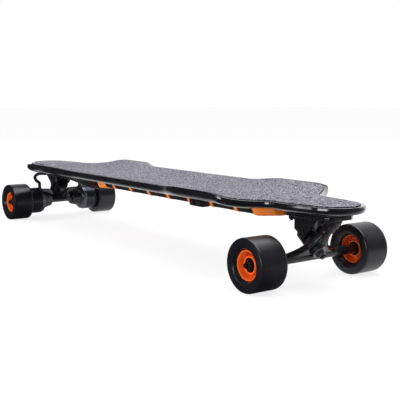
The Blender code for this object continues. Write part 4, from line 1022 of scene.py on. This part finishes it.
def softened(start, end):
    """Stations (x, inset) of a straight stretch with its two end edges rounded."""
    steps = [(0.0, 1.0), (0.3, 0.45), (1.0, 0.0)]
    front = [(start + END_ROUND * a, END_ROUND * b) for a, b in steps]
    return front + [(end - (x - start), inset) for x, inset in reversed(front)]


def make_tray():
    """Orange ribs and the two end caps of one flexible moulding, over the tray that holds the cells."""
    made = []
    for number in range(RIB_COUNT):
        centre = RIB_FIRST + RIB_PITCH * number
        ends = softened(centre - RIB_HALF, centre + RIB_HALF)
        made.append(lofted_piece(f"tray_rib_{number + 1}", ends, ORANGE_RUBBER))
    rear = [
        (TRAY_REAR, 0.0012, 0.0022, 0.001), (TRAY_REAR + 0.0015, 0.0, 0.0024, 0.001),
        (TRAY_REAR + 0.006, 0.0, 0.0030), (REAR_CAP_FRONT - 0.003, 0.0, 0.0012),
        (REAR_CAP_FRONT - 0.0006, 0.0, 0.0, 0.0004), (REAR_CAP_FRONT, 0.0006, 0.0, 0.0005),
    ]
    made.append(lofted_piece("tray_rear_cap", rear, ORANGE_RUBBER))
    front = [
        (TRAY_FRONT - 0.0010, 0.0006, 0.0008, 0.001), (TRAY_FRONT - 0.0004, 0.0, 0.0008, 0.0008),
        (TRAY_FRONT + 0.0050, 0.0, 0.0010), (TRAY_FRONT + 0.0110, 0.0, 0.0003, 0.004),
        (CAP_END - 0.0065, 0.0, -0.0001, 0.014), (CAP_END - 0.0012, 0.0, -0.0002, 0.023),
        (CAP_END, 0.0, -0.0026, 0.025),
    ]
    made.append(lofted_piece("tray_front_cap", front, ORANGE_RUBBER))
    for piece in made:
        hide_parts("flex_battery_tray")


def make_covers():
    """Eight dark covers between the ribs and caps; the one with the port block keeps its CAD block."""
    centres = [RIB_FIRST + RIB_PITCH * number for number in range(RIB_COUNT)]
    starts = [REAR_CAP_FRONT] + [x + RIB_HALF for x in centres]
    ends = [x - RIB_HALF for x in centres] + [TRAY_FRONT - 0.001]
    for number, (start, end) in enumerate(zip(starts, ends, strict=True), 1):
        between = softened(start + COVER_GAP, end - COVER_GAP)
        sides = [(x, inset + COVER_INSET) for x, inset in between]
        cover = lofted_piece(f"cover_{number}", sides, PLASTIC)
        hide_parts(f"segment_cover_{number}")


def make_port_block():
    """The block that holds the socket, button and cap, from the CAD's own form."""
    inner_y, low_z, rear_x, front_x = 0.0585, 0.1020, 0.2195, 0.2590
    piece = edged("segment_cover_6", PLASTIC, 0.0005)
    trim(piece, [
        ((0, -inner_y, 0), (0, 1, 0)), ((rear_x, 0, 0), (-1, 0, 0)), ((front_x, 0, 0), (1, 0, 0)),
        ((0, 0, low_z), (0, 0, -1)),
    ])


make_tray()
make_covers()
make_port_block()
edged("controller_housing", PLASTIC, 0.0015, 3)
edged("port_cap", SOFT_BLACK, 0.0003)


def make_socket_and_button():
    """The charge socket with its centre pin, and the button with its dished face."""
    socket = [
        (0.0, 0.0735), (0.0009, 0.0735), (0.0009, 0.0720), (0.0035, 0.0720), (0.0035, BLOCK_FACE),
        (0.0047, BLOCK_FACE), (0.0047, 0.0705), (0.0, 0.0705),
    ]
    socket, place = rounded(socket, 0.0002, 2), block_frame(PORT_X)
    piece = turned_piece("charge_socket", socket, place, 48, PLASTIC, "board", False)
    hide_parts("charge_port")
    button = [
        (0.0, 0.0790), (0.0024, 0.0791), (0.0032, 0.0796), (0.0037, 0.0796), (0.0040, 0.0793),
        (0.0040, 0.0751), (0.0, 0.0751),
    ]
    button, place = rounded(button, 0.0003, 3), block_frame(BUTTON_X)
    piece = turned_piece("power_button_face", button, place, 48, SOFT_BLACK, "power_button", False)
    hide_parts("power_button")


make_socket_and_button()

PLAIN = {"soft_black": SOFT_BLACK, "cell_wrap": CELLS, "circuit_board": CIRCUIT}
for row in frame["record"]["subparts"]:
    shown = nodes[row["node"]]
    if not shown.hide_render:
        shown.data.materials.clear()
        shown.data.materials.append(PLAIN[row["material_slot"]])

# Studio


def to_camera(tree, path):
    """1 for a ray that the camera sends, also through glass, and 0 for any other."""
    kinds = {0: path.outputs["Is Camera Ray"], 1: path.outputs["Is Transmission Ray"]}
    return node(tree, "Math", links=kinds, operation="MAXIMUM").outputs[0]


def chosen(tree, share, one, two):
    """The first shader where the share is 0, the second where it is 1."""
    return node(tree, "MixShader", links={0: share, 1: one.outputs[0], 2: two.outputs[0]})


def studio_floor():
    """A wide pale floor. The camera sees it lifted towards white, with the board's shadow kept pale.
    Mirror rays see white paper behind the board that falls off to dark on the near side, and every
    other ray sees a plain matt floor."""
    made = bpy.data.materials.new("studio_floor")
    made.use_nodes = True
    tree = made.node_tree
    tree.nodes.clear()
    matt = node(tree, "BsdfDiffuse", {"Color": (0.86, 0.86, 0.875, 1)})
    pale = node(tree, "BsdfDiffuse", {"Color": (0.30, 0.30, 0.28, 1)})
    glow = node(tree, "Emission", {"Color": (0.985, 0.985, 1, 1), "Strength": 0.80})
    spot = node(tree, "SeparateXYZ", links={0: node(tree, "TexCoord").outputs["Object"]})
    behind = span(tree, spot.outputs["Y"], -0.10, 0.22, 0.03, 0.98)
    ahead = span(tree, spot.outputs["X"], 0.45, 0.85, 1.0, 0.15)
    falloff = times(tree, behind, ahead)
    paper = node(tree, "Emission", {"Color": (0.98, 0.98, 1, 1)}, {"Strength": falloff})
    path = node(tree, "LightPath")
    both = node(tree, "AddShader", links={0: pale.outputs[0], 1: glow.outputs[0]})
    other = chosen(tree, path.outputs["Is Glossy Ray"], matt, paper)
    shown = chosen(tree, to_camera(tree, path), other, both)
    node(tree, "OutputMaterial", links={0: shown.outputs[0]})
    mesh = bpy.data.meshes.new("floor")
    reach = 30.0
    corners = [(-reach, -reach, 0), (reach, -reach, 0), (reach, reach, 0), (-reach, reach, 0)]
    mesh.from_pydata(corners, [], [(0, 1, 2, 3)])
    mesh.materials.append(made)
    in_scene("floor", mesh)


def studio_world():
    """White to the camera. Mirror rays meet a bright backdrop on the far side of the board and a dark
    room on the near side, and all other rays an even light."""
    world = bpy.data.worlds.new("studio")
    bpy.context.scene.world = world
    world.use_nodes = True
    tree = world.node_tree
    tree.nodes.clear()
    path = node(tree, "LightPath")
    way = node(tree, "TexCoord").outputs["Generated"]
    parts = node(tree, "SeparateXYZ", links={0: way})
    backdrop = span(tree, parts.outputs["Y"], 0.10, 0.45, 0.0, 0.97)
    low = span(tree, parts.outputs["Z"], 0.50, 0.80, 1.0, 0.05)
    ahead = span(tree, parts.outputs["X"], 0.10, 0.60, 1.0, 0.12)
    backdrop = times(tree, times(tree, backdrop, low), ahead)
    backdrop = node(tree, "Math", {1: 0.03}, {0: backdrop}, operation="ADD").outputs[0]
    soft = node(tree, "Background", {"Color": (0.97, 0.97, 1.0, 1), "Strength": 0.62})
    room = node(tree, "Background", {"Color": (0.98, 0.98, 1.0, 1)}, {"Strength": backdrop})
    white = node(tree, "Background", {"Color": (1, 1, 1, 1), "Strength": 1.0})
    lit = chosen(tree, path.outputs["Is Glossy Ray"], soft, room)
    shown = chosen(tree, to_camera(tree, path), lit, white)
    node(tree, "OutputWorld", links={0: shown.outputs[0]})


def softbox(name, place, target, size, power, mirrored=True):
    """A rectangular lamp that faces its target; glossy surfaces mirror it if it is mirrored."""
    light = bpy.data.lights.new(name, "AREA")
    light.shape = "RECTANGLE"
    light.size, light.size_y = size
    light.energy = power
    lamp = in_scene(name, light)
    away = Vector(place) - Vector(target)
    lamp.matrix_world = Matrix.Translation(place) @ away.to_track_quat("Z", "Y").to_matrix().to_4x4()
    lamp.visible_glossy = mirrored


studio_floor()
studio_world()
softbox("key", (0.3, 0.6, 2.2), (0, 0, 0.1), (2.6, 1.6), 38)
softbox("side", (-1.2, -2.2, 1.3), (0, 0, 0.1), (1.6, 1.2), 42, mirrored=False)
softbox("long_card", (0.78, -1.63, 0.29), (0.50, -0.06, 0.12), (0.9, 0.36), 5.5)
softbox("short_card", (-0.24, -1.48, 0.29), (0.475, -0.06, 0.12), (0.05, 0.36), 0.40)
bpy.context.scene.view_settings.view_transform = "Standard"
